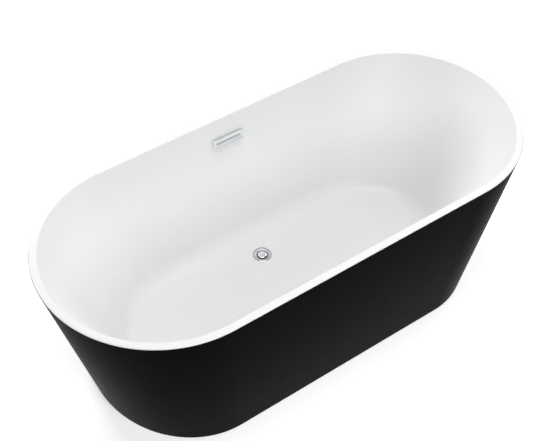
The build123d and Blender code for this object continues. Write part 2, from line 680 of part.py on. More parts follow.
with BuildPart() as overflow_screws:
    with BuildSketch(OVERFLOW.offset(SCREW_END)):
        with Locations((-OVERFLOW_SCREW_X, 0), (OVERFLOW_SCREW_X, 0)):
            Circle(OVERFLOW_SCREW_RADIUS)
    extrude(amount=RETAINER - SCREW_END)
    with BuildSketch(OVERFLOW.offset(RETAINER)):
        with Locations((-OVERFLOW_SCREW_X, 0), (OVERFLOW_SCREW_X, 0)):
            Circle(2 * OVERFLOW_SCREW_RADIUS)
    extrude(amount=2.5)
save(overflow_screws, "overflow_screws")

with BuildPart() as overflow_hose:
    with BuildLine() as hose_route:
        FilletPolyline(HOSE_TOP, HOSE_CORNER, HOSE_END, radius=HOSE_BEND)
    with BuildSketch(Plane(HOSE_TOP, z_dir=HOSE_DOWN)):
        Circle(HOSE_RADIUS)
        Circle(HOSE_BORE, mode=Mode.SUBTRACT)
    sweep(path=hose_route.line)
save(overflow_hose, "overflow_hose")

CLAMP_WIDTH = 9.0
CLAMP_BAND = 1.5
CLAMP_INSET = 3.0
CLAMPED = [
    (HOSE_TOP + HOSE_DOWN * CLAMP_INSET, HOSE_DOWN),
    (HOSE_END + Vector(0, CLAMP_INSET, 0), Vector(0, 1, 0)),
]
with BuildPart() as hose_clamps:
    for start, direction in CLAMPED:
        with BuildSketch(Plane(start, z_dir=direction)):
            Circle(HOSE_RADIUS + CLAMP_BAND)
            Circle(HOSE_RADIUS, mode=Mode.SUBTRACT)
        extrude(amount=CLAMP_WIDTH)
save(hose_clamps, "hose_clamps")

hose_length = sum(edge.length for edge in hose_route.edges())
hose_section = pi * (HOSE_RADIUS**2 - HOSE_BORE**2)
print(f"overflow wall lean {degrees(WALL_LEAN):.1f} degrees")
hose_fill = overflow_hose.part.volume / (hose_section * hose_length)
print(f"hose length {hose_length:.1f} mm, volume over section times length {hose_fill:.4f}")
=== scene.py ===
"""Freestanding bathtub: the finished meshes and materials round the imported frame.

Metres. X runs along the tub, Y across it towards the overflow, and Z up from the floor.
"""

import logging
import math
from dataclasses import dataclass
from enum import Enum
from typing import Iterable, Sequence

import bmesh
import bpy
import numpy as np
from mathutils import Matrix, Vector


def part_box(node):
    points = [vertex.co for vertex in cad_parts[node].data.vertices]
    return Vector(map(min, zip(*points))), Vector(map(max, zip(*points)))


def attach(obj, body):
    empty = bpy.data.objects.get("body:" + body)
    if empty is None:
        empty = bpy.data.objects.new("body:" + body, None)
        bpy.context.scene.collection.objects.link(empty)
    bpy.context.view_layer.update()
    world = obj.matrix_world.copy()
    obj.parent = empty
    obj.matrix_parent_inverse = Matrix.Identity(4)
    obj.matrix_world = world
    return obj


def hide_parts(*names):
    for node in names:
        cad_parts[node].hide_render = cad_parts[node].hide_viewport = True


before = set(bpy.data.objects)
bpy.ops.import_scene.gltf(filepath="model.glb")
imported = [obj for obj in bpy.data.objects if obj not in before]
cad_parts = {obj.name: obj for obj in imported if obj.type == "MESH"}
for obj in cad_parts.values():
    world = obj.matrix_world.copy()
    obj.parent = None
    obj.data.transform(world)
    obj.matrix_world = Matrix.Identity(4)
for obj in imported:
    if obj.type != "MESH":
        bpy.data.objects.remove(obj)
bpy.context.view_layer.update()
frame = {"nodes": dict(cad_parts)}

LOG = logging.getLogger("bathtub")
LOOP = np.ndarray
Profile = Sequence[tuple[float, float]]


# ---------------------------------------------------------------- options
class Shading(Enum):
    """How sharply a mesh's edges must turn before they stay creased, in degrees."""

    FLOWING = 60.0
    MACHINED = 30.0
    FACETED = 5.0


# ---------------------------------------------------------------- node graphs
class Graph:
    """A short way to write shader and geometry node trees."""

    def __init__(self, tree: bpy.types.NodeTree) -> None:
        """Take over an empty tree.

        Args:
            tree: the node tree that the graph adds to.
        """
        self.tree = tree

    def add(self, kind: str, values: dict | None = None, **options: object) -> bpy.types.Node:
        """Add a node.

        Args:
            kind: the node's type name.
            values: input values or sockets to link, by input name or index.
            options: the node's own properties.

        Returns:
            The new node.
        """
        node = self.tree.nodes.new(kind)
        for key, value in options.items():
            setattr(node, key, value)
        for key, value in (values or {}).items():
            self.feed(node.inputs[key], value)
        return node

    def feed(self, socket: bpy.types.NodeSocket, value: object) -> None:
        """Link a socket to an input, or set the input's own value.

        Args:
            socket: the input to fill.
            value: the socket to link, or the value to set.
        """
        if isinstance(value, bpy.types.NodeSocket):
            self.tree.links.new(value, socket)
        else:
            socket.default_value = value

    def maths(self, operation: str, first: object, second: object = 0.0) -> bpy.types.NodeSocket:
        """Add a maths node and return its result.

        Args:
            operation: the maths node's operation.
            first: the first value or socket.
            second: the second value or socket.

        Returns:
            The socket with the result.
        """
        node = self.add("ShaderNodeMath", {0: first, 1: second}, operation=operation)
        return node.outputs[0]


# ---------------------------------------------------------------- finishes
@dataclass(frozen=True)
class Finish:
    """What every finish states: its name, record slot, colour and gloss, and how each varies."""

    name: str
    slot: str
    colour: tuple[float, float, float]
    roughness: float
    colour_drift: float = 0.03
    roughness_drift: float = 0.05
    patch: float = 6.0
    grain: float = 400.0
    grain_depth: float = 0.00002
    metallic: float = 0.0
    ior: float = 1.5

    def material(self) -> bpy.types.Material:
        """Return this finish's material, made once.

        Returns:
            The material.
        """
        known = bpy.data.materials.get(self.name)
        if known:
            return known
        made = bpy.data.materials.new(self.name)
        made.use_nodes = True
        made.node_tree.nodes.clear()
        graph = Graph(made.node_tree)
        place = graph.add("ShaderNodeTexCoord").outputs["Object"]
        shader = graph.add("ShaderNodeBsdfPrincipled")
        shader.inputs["Metallic"].default_value = self.metallic
        shader.inputs["IOR"].default_value = self.ior
        graph.feed(shader.inputs["Base Color"], self.colour_field(graph, place))
        graph.feed(shader.inputs["Roughness"], self.roughness_field(graph, place))
        height = self.height_field(graph, place)
        bump = graph.add("ShaderNodeBump", {"Height": height, "Distance": self.grain_depth})
        graph.feed(shader.inputs["Normal"], bump.outputs[0])
        output = graph.add("ShaderNodeOutputMaterial")
        graph.feed(output.inputs["Surface"], shader.outputs[0])
        return made

    def noise(self, graph: Graph, place: object, scale: float, detail: float = 3.0) -> bpy.types.NodeSocket:
        """Return a noise value of about 0 to 1 at a scale in features per metre.

        Args:
            graph: the graph to add to.
            place: the Object coordinates.
            scale: features per metre.
            detail: how many finer layers the noise has.

        Returns:
            The socket with the result.
        """
        node = graph.add("ShaderNodeTexNoise", {"Vector": place, "Scale": scale, "Detail": detail})
        return node.outputs[0]

    def spread(self, graph: Graph, field: object, low: float, high: float) -> bpy.types.NodeSocket:
        """Stretch the middle of a noise value over a range.

        Args:
            graph: the graph to add to.
            field: the noise value.
            low: the value at the low end.
            high: the value at the high end.

        Returns:
            The socket with the result.
        """
        values = {"Value": field, "From Min": 0.3, "From Max": 0.7, "To Min": low, "To Max": high}
        return graph.add("ShaderNodeMapRange", values).outputs[0]

    def blend(self, graph: Graph, factor: object, low: Sequence[float], high: Sequence[float]) -> object:
        """Mix two colours by a factor and return the result.

        Args:
            graph: the graph to add to.
            factor: how far to go from the first colour to the second.
            low: the colour at 0.
            high: the colour at 1.

        Returns:
            The socket with the result.
        """
        node = graph.add("ShaderNodeMix", data_type="RGBA")
        graph.feed(node.inputs["Factor"], factor)
        graph.feed(node.inputs[6], (*low, 1.0))
        graph.feed(node.inputs[7], (*high, 1.0))
        return node.outputs[2]

    def shade(self, factor: float) -> tuple[float, float, float]:
        """Return the base colour made lighter or darker.

        Args:
            factor: what the base colour is multiplied by.

        Returns:
            The colour.
        """
        return tuple(min(1.0, channel * factor) for channel in self.colour)

    def colour_field(self, graph: Graph, place: object) -> object:
        """Return the colour: broad soft patches a little darker and lighter.

        Args:
            graph: the graph to add to.
            place: the Object coordinates.

        Returns:
            The socket with the result.
        """
        field = self.spread(graph, self.noise(graph, place, self.patch), 0.0, 1.0)
        return self.blend(graph, field, self.shade(1 - self.colour_drift), self.shade(1 + self.colour_drift))

    def roughness_field(self, graph: Graph, place: object) -> object:
        """Return the roughness: wiped, slightly uneven gloss.

        Args:
            graph: the graph to add to.
            place: the Object coordinates.

        Returns:
            The socket with the result.
        """
        low, high = self.roughness - self.roughness_drift, self.roughness + self.roughness_drift
        return self.spread(graph, self.noise(graph, place, self.patch * 4), max(0.02, low), high)

    def height_field(self, graph: Graph, place: object) -> object:
        """Return the fine surface height.

        Args:
            graph: the graph to add to.
            place: the Object coordinates.

        Returns:
            The socket with the result.
        """
        return self.noise(graph, place, self.grain)


@dataclass(frozen=True)
class Fibre(Finish):
    """Sprayed glass fibre: chopped strands lying every way under resin."""

    def colour_field(self, graph: Graph, place: object) -> object:
        """Return resin colour with paler strands.

        Args:
            graph: the graph to add to.
            place: the Object coordinates.

        Returns:
            The socket with the result.
        """
        strands = self.height_field(graph, place)
        return self.blend(graph, strands, self.shade(0.75), self.shade(1.2))

    def height_field(self, graph: Graph, place: object) -> object:
        """Return crossed strand bundles as the higher of two stretched noises.

        Args:
            graph: the graph to add to.
            place: the Object coordinates.

        Returns:
            The socket with the result.
        """
        fields = []
        for turn, stretch in ((0.5, (14.0, 130.0, 30.0)), (2.1, (120.0, 16.0, 40.0))):
            mapping = graph.add("ShaderNodeMapping", {"Vector": place})
            mapping.inputs["Rotation"].default_value = (turn, turn / 2, turn)
            mapping.inputs["Scale"].default_value = stretch
            fields.append(self.noise(graph, mapping.outputs[0], 1.0, 5.0))
        return graph.maths("MAXIMUM", fields[0], fields[1])


@dataclass(frozen=True)
class Plywood(Finish):
    """Plywood: grain along X on the faces and thin plies on the edges."""

    ply: float = 0.0022

    def colour_field(self, graph: Graph, place: object) -> object:
        """Return veneer grain crossed with plies that alternate up the thickness.

        Args:
            graph: the graph to add to.
            place: the Object coordinates.

        Returns:
            The socket with the result.
        """
        mapping = graph.add("ShaderNodeMapping", {"Vector": place})
        mapping.inputs["Scale"].default_value = (3.0, 60.0, 10.0)
        grain = self.noise(graph, mapping.outputs[0], 1.0, 6.0)
        height = graph.add("ShaderNodeSeparateXYZ", {"Vector": place}).outputs["Z"]
        layer = graph.maths("PINGPONG", graph.maths("DIVIDE", height, self.ply), 1.0)
        mixed = graph.maths("ADD", graph.maths("MULTIPLY", layer, 0.4), graph.maths("MULTIPLY", grain, 0.6))
        return self.blend(graph, mixed, self.shade(0.6), self.shade(1.3))


@dataclass(frozen=True)
class Turned(Finish):
    """Bright metal polished on a lathe: faint rings round an upright axis."""

    centre: tuple[float, float] = (0.0, 0.0)

    def height_field(self, graph: Graph, place: object) -> object:
        """Return fine rings about the piece's own axis.

        Args:
            graph: the graph to add to.
            place: the Object coordinates.

        Returns:
            The socket with the result.
        """
        mapping = graph.add("ShaderNodeMapping", {"Vector": place})
        mapping.inputs["Location"].default_value = (-self.centre[0], -self.centre[1], 0.0)
        values = {"Vector": mapping.outputs[0], "Scale": self.grain, "Distortion": 1.0}
        node = graph.add("ShaderNodeTexWave", values, wave_type="RINGS", rings_direction="Z")
        return node.outputs["Fac"]


class Finishes:
    """The tub's finishes by what they are on."""

    WHITE = Finish(
        "white acrylic",
        "white_acrylic",
        (0.84, 0.845, 0.845),
        0.34,
        0.006,
        0.04,
        grain_depth=0.000015,
        ior=1.4,
    )
    BLACK = Finish(
        "black acrylic", "black_acrylic", (0.0016, 0.0017, 0.0020), 0.42, 0.02, 0.015, grain=700.0, ior=1.06
    )
    CHROME = Finish(
        "polished chrome", "chrome", (0.78, 0.79, 0.81), 0.09, 0.02, 0.04, patch=40.0, metallic=1.0
    )
    DRAIN = Turned("satin chrome", "chrome", (0.55, 0.56, 0.58), 0.30, 0.02, 0.05, patch=60.0, metallic=1.0)
    CAP = Turned("bright chrome", "chrome", (0.95, 0.95, 0.96), 0.12, 0.02, 0.03, patch=60.0, metallic=1.0)
    RUBBER = Finish("black rubber", "black_rubber", (0.022, 0.022, 0.023), 0.62, 0.15, grain_depth=0.00008)
    PLY = Plywood("plywood", "board", (0.55, 0.41, 0.26), 0.65, grain=250.0, grain_depth=0.0001)
    FIBRE = Fibre("glass fibre", "fibreglass", (0.58, 0.55, 0.45), 0.45, grain_depth=0.0012)
    PAINT = Finish(
        "powder coat", "frame_paint", (0.055, 0.057, 0.06), 0.5, 0.1, grain=1200.0, grain_depth=0.00008
    )
    ZINC = Finish(
        "zinc plate", "zinc_steel", (0.60, 0.61, 0.63), 0.32, 0.1, 0.1, patch=90.0, metallic=1.0, grain=500.0
    )
    SPRING = Finish("spring steel", "spring_steel", (0.50, 0.50, 0.51), 0.25, 0.05, metallic=1.0)
    BRASS = Finish("turned brass", "brass", (0.66, 0.48, 0.20), 0.25, 0.06, 0.08, patch=60.0, metallic=1.0)
    PIPE = Finish("white moulding", "pipe_plastic", (0.72, 0.72, 0.70), 0.4, 0.04, grain_depth=0.00004)
    HOSE = Finish("grey hose", "hose_plastic", (0.42, 0.43, 0.44), 0.45, 0.06, grain_depth=0.00004)
    NYLON = Finish("black nylon", "pad_plastic", (0.025, 0.025, 0.026), 0.5, 0.15, grain=900.0)
    BOND = Finish("adhesive", "bond", (0.66, 0.65, 0.61), 0.55, 0.08, grain=150.0, grain_depth=0.0002)


# ---------------------------------------------------------------- meshes
def mesh_object(name: str, points: Iterable, faces: Iterable) -> bpy.types.Object:
    """Make an object at the origin from points and faces.

    Args:
        name: the piece's name.
        points: corner positions in metres.
        faces: corner indices of each face.

    Returns:
        The new object, linked to the scene.
    """
    mesh = bpy.data.meshes.new(name)
    mesh.from_pydata([tuple(point) for point in points], [], [tuple(face) for face in faces])
    made = bpy.data.objects.new(name, mesh)
    bpy.context.scene.collection.objects.link(made)
    return made


def tidy(piece: bpy.types.Object, merge: float = 1e-6) -> None:
    """Merge doubles and turn every face outwards.

    Args:
        piece: the object.
        merge: how near two points are to be merged, in metres.
    """
    work = bmesh.new()
    work.from_mesh(piece.data)
    bmesh.ops.remove_doubles(work, verts=work.verts, dist=merge)
    bmesh.ops.dissolve_degenerate(work, edges=work.edges, dist=merge)
    bmesh.ops.recalc_face_normals(work, faces=work.faces)
    work.to_mesh(piece.data)
    work.free()


def shade(piece: bpy.types.Object, shading: Shading) -> None:
    """Shade smooth, with creases where the surface turns more sharply than the option says.

    Args:
        piece: the object.
        shading: how sharp an edge stays creased.
    """
    piece.data.shade_smooth()
    piece.data.set_sharp_from_angle(angle=math.radians(shading.value))


def skin(name: str, loops: Sequence[LOOP], closed: bool = True) -> bpy.types.Object:
    """Skin a row of equal loops with quads.

    Args:
        name: the piece's name.
        loops: arrays of points, each going once round in the same order.
        closed: True joins the last loop to the first one, False caps both ends.

    Returns:
        The skinned object, its faces outwards.
    """
    count, around = len(loops), len(loops[0])
    points = np.concatenate(loops)
    faces = []
    for row in range(count if closed else count - 1):
        this, after = row * around, (row + 1) % count * around
        for step in range(around):
            turn = (step + 1) % around
            faces.append((this + step, this + turn, after + turn, after + step))
    if not closed:
        faces.append(tuple(range(around)))
        faces.append(tuple(range((count - 1) * around, count * around)))
    made = mesh_object(name, points, faces)
    tidy(made)
    return made


def lathe(name: str, outline: Profile, centre: Sequence[float], segments: int = 96) -> bpy.types.Object:
    """Turn a closed outline of (radius, height) about an upright axis.

    Args:
        name: the piece's name.
        outline: the closed outline, in metres.
        centre: where the axis stands, in X and Y.
        segments: how many steps go once round.

    Returns:
        The turned object.
    """
    angles = np.arange(segments) * 2 * math.pi / segments
    loops = []
    for radius, height in outline:
        radius = max(radius, 1e-7)
        x, y = centre[0] + radius * np.cos(angles), centre[1] + radius * np.sin(angles)
        loops.append(np.column_stack((x, y, np.full(segments, height))))
    return skin(name, loops)


def rounded(corner: LOOP, first: LOOP, second: LOOP, radius: float, steps: int) -> list[LOOP]:
    """Round a corner that runs along a loop.

    Args:
        corner: the sharp corner's points.
        first: unit directions from the corner along the surface that comes first.
        second: unit directions along the surface that comes next.
        radius: the radius of the rounding.
        steps: how many steps the rounding has.

    Returns:
        The loops of the rounding, from the first surface to the second.
    """
    cosine = np.sum(first * second, axis=1, keepdims=True)
    half = np.arccos(np.clip(cosine, -1, 1)) / 2
    middle = first + second
    middle /= np.linalg.norm(middle, axis=1, keepdims=True)
    centre = corner + middle * radius / np.sin(half)
    start = corner + first * radius / np.tan(half) - centre
    end = corner + second * radius / np.tan(half) - centre
    span = math.pi - 2 * half
    loops = []
    for step in range(steps + 1):
        part = step / steps
        turned = (np.sin((1 - part) * span) * start + np.sin(part * span) * end) / np.sin(span)
        loops.append(centre + turned)
    return loops


def hand_over(piece: bpy.types.Object, body: str, finish: Finish, node: str = "") -> bpy.types.Object:
    """Dress a finished piece, put it on its body and hide the CAD node that it stands in for.

    Args:
        piece: the finished object.
        body: the name of the body that it moves with.
        finish: its finish.
        node: the CAD node that it replaces, or nothing for an added detail.

    Returns:
        The same object.
    """
    piece.data.materials.clear()
    piece.data.materials.append(finish.material())
    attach(piece, body)
    if node:
        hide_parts(node)
    LOG.info("%s: %d faces on %s", piece.name, len(piece.data.polygons), body)
    return piece


def plain(piece: bpy.types.Object) -> bpy.types.Object:
    """Turn a piece with live modifiers into a plain mesh, and return it.

    Args:
        piece: the object.

    Returns:
        The object.
    """
    graph = bpy.context.evaluated_depsgraph_get()
    made = bpy.data.meshes.new_from_object(piece.evaluated_get(graph))
    piece.modifiers.clear()
    old = piece.data
    piece.data = made
    bpy.data.meshes.remove(old)
    made.name = piece.name
    return piece


def centre_of(node: str) -> Vector:
    """Return the middle of a CAD node's box.

    Args:
        node: the CAD node's name.

    Returns:
        The middle.
    """
    low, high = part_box(node)
    return (low + high) / 2


# ---------------------------------------------------------------- tapered walls
@dataclass(frozen=True)
class Section:
    """A plan outline at one height: two straight sides closed by half ellipses."""

    height: float
    half_length: float
    half_width: float
    end_reach: float

    def loop(self, arc_steps: int = 96, side_steps: int = 72) -> LOOP:
        """Return the outline's points, once round from the right end's near side.

        Args:
            arc_steps: steps round each end.
            side_steps: steps along each side.

        Returns:
            The points, one in each row.
        """
        start = self.half_length - self.end_reach
        turn = np.linspace(-math.pi / 2, math.pi / 2, arc_steps, endpoint=False)
        run = np.linspace(start, -start, side_steps, endpoint=False)
        right = np.column_stack((start + self.end_reach * np.cos(turn), self.half_width * np.sin(turn)))
        back = np.column_stack((run, np.full(side_steps, self.half_width)))
        flat = np.concatenate((right, back, -right, -back))
        return np.column_stack((flat, np.full(len(flat), self.height)))


@dataclass(frozen=True)
class Taper:
    """A wall surface ruled between two sections."""

    top: Section
    bottom: Section

    def slope(self, size: str) -> float:
        """Return how far one size grows per metre of height.

        Args:
            size: the size's name.

        Returns:
            Metres of size for each metre of height.
        """
        rise = self.top.height - self.bottom.height
        return (getattr(self.top, size) - getattr(self.bottom, size)) / rise

    def at(self, height: float) -> Section:
        """Return the surface's section at a height.

        Args:
            height: the height in metres.

        Returns:
            The section.
        """
        up = height - self.bottom.height
        sizes = ("half_length", "half_width", "end_reach")
        return Section(height, *(getattr(self.bottom, size) + up * self.slope(size) for size in sizes))

    def inset(self, thickness: float) -> "Taper":
        """Return the surface moved inwards, square to its walls.

        Args:
            thickness: how far in; a negative one moves it out.

        Returns:
            The moved surface.
        """
        end = thickness * math.hypot(1, self.slope("half_length"))
        side = thickness * math.hypot(1, self.slope("half_width"))

        def moved(section: Section) -> Section:
            """Return a section moved inwards.

            Args:
                section: the section to move.

            Returns:
                The section.
            """
            return Section(
                section.height,
                section.half_length - end,
                section.half_width - side,
                section.end_reach - end,
            )

        return Taper(moved(self.top), moved(self.bottom))


def unit(vectors: LOOP) -> LOOP:
    """Return vectors scaled to length 1.

    Args:
        vectors: one vector in each row.

    Returns:
        The scaled vectors.
    """
    return vectors / np.linalg.norm(vectors, axis=1, keepdims=True)


# ---------------------------------------------------------------- basin
@dataclass(frozen=True)
class Basin:
    """The white basin: rim, turned-down lip, leaning walls, rounded foot and flat floor."""

    rim_width: float = 0.024
    rim_depth: float = 0.003
    rim_round: float = 0.002
    rim_end_reach: float = 0.382
    overhang: float = 0.001
    floor_half_length: float = 0.572
    floor_half_width: float = 0.224
    floor_end_reach: float = 0.265
    floor_height: float = 0.135
    foot_round: float = 0.060
    wall: float = 0.005
    lip_depth: float = 0.022
    lip_gap: float = 0.006
    recess_radius: float = 0.0325
    recess_depth: float = 0.0035
    hole_radius: float = 0.0265
    fibre: float = 0.004

    @property
    def height(self) -> float:
        """The rim's height.

        Returns:
            The value in metres.
        """
        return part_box("basin_shell")[1].z

    @property
    def half_size(self) -> tuple[float, float]:
        """Half the skirt's length and width, which the rim falls short of by the overhang.

        Returns:
            The two values in metres.
        """
        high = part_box("outer_skirt")[1]
        return round(high.x, 3), round(high.y, 3)

    def inside(self) -> Taper:
        """Return the inner wall's surface.

        Returns:
            The surface.
        """
        half_length, half_width = self.half_size
        rim = self.rim_width
        top = Section(self.height, half_length - rim, half_width - rim, self.rim_end_reach - rim)
        bottom = Section(
            self.floor_height, self.floor_half_length, self.floor_half_width, self.floor_end_reach
        )
        return Taper(top, bottom)

    def shell(self, taper: Taper, floor: float, foot_round: float, top: float) -> list[LOOP]:
        """Return the loops of a wall and its rounded foot.

        Args:
            taper: the wall's surface.
            floor: the height of the flat floor.
            foot_round: the radius between wall and floor.
            top: the height where the wall starts.

        Returns:
            Loops from the wall's top to the edge of the flat floor.
        """
        high, low = taper.at(top).loop(), taper.at(floor).loop()
        along = unit(np.roll(low, -1, 0) - np.roll(low, 1, 0))
        up = high - low
        up = unit(up - np.sum(up * along, axis=1, keepdims=True) * along)
        inward = np.cross((0.0, 0.0, 1.0), along)
        foot = rounded(low, up, inward, foot_round, 18)
        levels = np.linspace(top, foot[0][:, 2].max(), 6)[:-1]
        return [*(taper.at(level).loop() for level in levels), *foot]

    def drain_ring(self, loop: LOOP, radius: float, height: float) -> LOOP:
        """Return a round loop about the drain whose points lie in line with those of another loop.

        Args:
            loop: the loop to line up with.
            radius: the ring's radius.
            height: the ring's height.

        Returns:
            The points, one in each row.
        """
        centre = centre_of("drain_flange")
        angle = np.arctan2(loop[:, 1] - centre.y, loop[:, 0] - centre.x)
        x, y = centre.x + radius * np.cos(angle), centre.y + radius * np.sin(angle)
        return np.column_stack((x, y, np.full(len(loop), height)))

    def build(self, skirt: Taper) -> bpy.types.Object:
        """Build the basin.

        Args:
            skirt: the skirt's outer surface, which the lip follows.

        Returns:
            The basin's object.
        """
        half_length, half_width = self.half_size
        inside = self.inside()
        step = Section(
            self.height,
            half_length - self.overhang,
            half_width - self.overhang,
            self.rim_end_reach - self.overhang,
        )
        edge, top = step.loop(), inside.top.loop()
        outward = unit((top - inside.bottom.loop()) * (1, 1, 0))
        down, fall = np.array([[0, 0, -1.0]]).repeat(len(edge), 0), unit(inside.bottom.loop() - top)
        ledge, underside = self.height - self.rim_depth, self.height - self.wall
        lip = [skirt.inset(self.lip_gap), skirt.inset(self.lip_gap + self.wall)]
        foot = self.shell(inside, self.floor_height, self.foot_round, self.height - self.rim_round * 2)
        outside = inside.inset(-self.wall)
        back_floor = self.floor_height - self.wall
        back = self.shell(outside, back_floor, self.foot_round + self.wall, underside)
        recess = self.floor_height - self.recess_depth
        loops = [
            *reversed(back),
            lip[1].at(underside).loop(),
            lip[1].at(ledge - self.lip_depth).loop(),
            lip[0].at(ledge - self.lip_depth).loop(),
            lip[0].at(ledge).loop(),
            edge - (0, 0, self.rim_depth),
            *rounded(edge, down, -outward, self.rim_round, 8),
            *rounded(top, outward, fall, self.rim_round, 8),
            *foot,
            self.drain_ring(foot[-1], self.recess_radius, self.floor_height),
            self.drain_ring(foot[-1], self.recess_radius, recess),
            self.drain_ring(foot[-1], self.hole_radius, recess),
            self.drain_ring(foot[-1], self.hole_radius, back_floor),
        ]
        return skin("basin", loops)

    def reinforcement(self) -> bpy.types.Object:
        """Build the glass-fibre layer behind the basin.

        Returns:
            The object.
        """
        inside = self.inside()
        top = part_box("basin_fibreglass")[1].z
        layers = []
        for depth in (self.wall, self.wall + self.fibre):
            floor = self.floor_height - depth
            loops = self.shell(inside.inset(-depth), floor, self.foot_round + depth, top)
            layers.append([*loops, self.drain_ring(loops[-1], self.hole_radius, floor)])
        return skin("basin_reinforcement", [*layers[0], *reversed(layers[1])])


# ---------------------------------------------------------------- skirt
@dataclass(frozen=True)
class Skirt:
    """The black skirt: a ruled wall from the rim's outline to the smaller outline on the floor."""

    rim_end_reach: float = 0.382
    base_half_length: float = 0.701
    base_half_width: float = 0.332
    base_end_reach: float = 0.300
    wall: float = 0.005
    flange: float = 0.025
    backing: float = 0.003
    bond: float = 0.001
    around: int = 320
    edge_round: float = 0.0012

    def surface(self) -> Taper:
        """Return the skirt's outer surface.

        Returns:
            The surface.
        """
        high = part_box("outer_skirt")[1]
        top = Section(high.z, round(high.x, 3), round(high.y, 3), self.rim_end_reach)
        return Taper(top, Section(0.0, self.base_half_length, self.base_half_width, self.base_end_reach))

    def tree(self) -> bpy.types.NodeTree:
        """Build the node tree that wraps a grid into the skirt's wall and bottom flange.

        Returns:
            The node tree.
        """
        tree = bpy.data.node_groups.new("ruled skirt", "GeometryNodeTree")
        face = tree.interface
        face.new_socket("Geometry", in_out="OUTPUT", socket_type="NodeSocketGeometry")
        names = ["Low Height", "High Height", "Wall", "Flange", "Around"]
        names += [f"{end} {size}" for size in ("Length", "Width", "Reach") for end in ("Base", "Rim")]
        for name in names:
            kind = "NodeSocketInt" if name == "Around" else "NodeSocketFloat"
            face.new_socket(name, in_out="INPUT", socket_type=kind)
        face.new_socket("Material", in_out="INPUT", socket_type="NodeSocketMaterial")
        graph = Graph(tree)
        given = graph.add("NodeGroupInput").outputs
        corners = 7
        grid = graph.add("GeometryNodeMeshGrid", {"Vertices X": given["Around"], "Vertices Y": corners})
        position = graph.add("GeometryNodeInputPosition").outputs[0]
        split = graph.add("ShaderNodeSeparateXYZ", {0: position}).outputs
        angle = graph.maths("MULTIPLY", graph.maths("ADD", split["X"], 0.5), 2 * math.pi)
        angle = graph.maths("ADD", angle, math.pi / (self.around - 1))
        row = graph.maths("ROUND", graph.maths("MULTIPLY", graph.maths("ADD", split["Y"], 0.5), corners - 1))
        flange_top = graph.maths("ADD", given["Low Height"], given["Wall"])
        reach = graph.maths("ADD", given["Wall"], given["Flange"])
        low, high, wall = given["Low Height"], given["High Height"], given["Wall"]
        height = self.choose(graph, row, (low, high, high, flange_top, flange_top, low, low))
        inset = self.choose(graph, row, (0.0, 0.0, wall, wall, reach, reach, 0.0))
        slopes = {}
        for size in ("Length", "Width", "Reach"):
            grown = graph.maths("SUBTRACT", given[f"Rim {size}"], given[f"Base {size}"])
            slopes[size] = graph.maths("DIVIDE", grown, high)
        # the rounded end leans as its middle does, so its reach is inset by the length's slope
        leans = {"Length": slopes["Length"], "Width": slopes["Width"], "Reach": slopes["Length"]}
        sizes = {}
        for size, lean in leans.items():
            risen = graph.maths("MULTIPLY", slopes[size], height)
            sizes[size] = graph.maths("ADD", given[f"Base {size}"], risen)
            square = graph.maths("SQRT", graph.maths("ADD", 1.0, graph.maths("MULTIPLY", lean, lean)))
            sizes[size] = graph.maths("SUBTRACT", sizes[size], graph.maths("MULTIPLY", inset, square))
        cosine, sine = graph.maths("COSINE", angle), graph.maths("SINE", angle)
        straight = graph.maths("SUBTRACT", sizes["Length"], sizes["Reach"])
        x = graph.maths("MULTIPLY", sizes["Reach"], cosine)
        x = graph.maths("ADD", x, graph.maths("MULTIPLY", straight, graph.maths("SIGN", cosine)))
        y = graph.maths("MULTIPLY", sizes["Width"], sine)
        place = graph.add("ShaderNodeCombineXYZ", {"X": x, "Y": y, "Z": height}).outputs[0]
        moved = graph.add("GeometryNodeSetPosition", {"Geometry": grid.outputs["Mesh"], "Position": place})
        merged = graph.add("GeometryNodeMergeByDistance", {"Geometry": moved.outputs[0], "Distance": 1e-5})
        real = graph.add("GeometryNodeRealizeInstances", {"Geometry": merged.outputs[0]})
        values = {"Geometry": real.outputs[0], "Material": given["Material"]}
        dressed = graph.add("GeometryNodeSetMaterial", values)
        graph.feed(graph.add("NodeGroupOutput").inputs[0], dressed.outputs[0])
        return tree

    def choose(self, graph: Graph, row: object, options: Sequence) -> object:
        """Return one of several values by a row's number.

        Args:
            graph: the graph to add to.
            row: the row's number.
            options: the values to choose from, in order.

        Returns:
            The socket with the result.
        """
        node = graph.add("GeometryNodeIndexSwitch", data_type="FLOAT")
        while len(node.index_switch_items) < len(options):
            node.index_switch_items.new()
        graph.feed(node.inputs["Index"], row)
        for number, option in enumerate(options, start=1):
            graph.feed(node.inputs[number], option)
        return node.outputs[0]

    def build(self) -> bpy.types.Object:
        """Build the skirt.

        Returns:
            The object.
        """
        surface = self.surface()
        made = mesh_object("skirt", [], [])
        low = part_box("outer_skirt")[0].z
        sizes = {
            "Low Height": low,
            "High Height": surface.top.height,
            "Wall": self.wall,
            "Flange": self.flange,
            "Around": self.around,
            "Base Length": self.base_half_length,
            "Rim Length": surface.top.half_length,
            "Base Width": self.base_half_width,
            "Rim Width": surface.top.half_width,
            "Base Reach": self.base_end_reach,
            "Rim Reach": self.rim_end_reach,
            "Material": Finishes.BLACK.material(),
        }
        run_tree(made, self.tree(), sizes)
        plain(made)
        tidy(made, 1e-5)
        bevel = made.modifiers.new("edges", "BEVEL")
        bevel.width = self.edge_round
        bevel.segments = 3
        bevel.limit_method = "ANGLE"
        return plain(made)

    def reinforcement(self) -> bpy.types.Object:
        """Build the glass-fibre layer inside the skirt.

        Returns:
            The object.
        """
        low, high = (corner.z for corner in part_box("skirt_fibreglass"))
        surfaces = [self.surface().inset(self.wall), self.surface().inset(self.wall + self.backing)]
        loops = [surfaces[0].at(low), surfaces[0].at(high), surfaces[1].at(high), surfaces[1].at(low)]
        return skin("skirt_reinforcement", [section.loop() for section in loops])

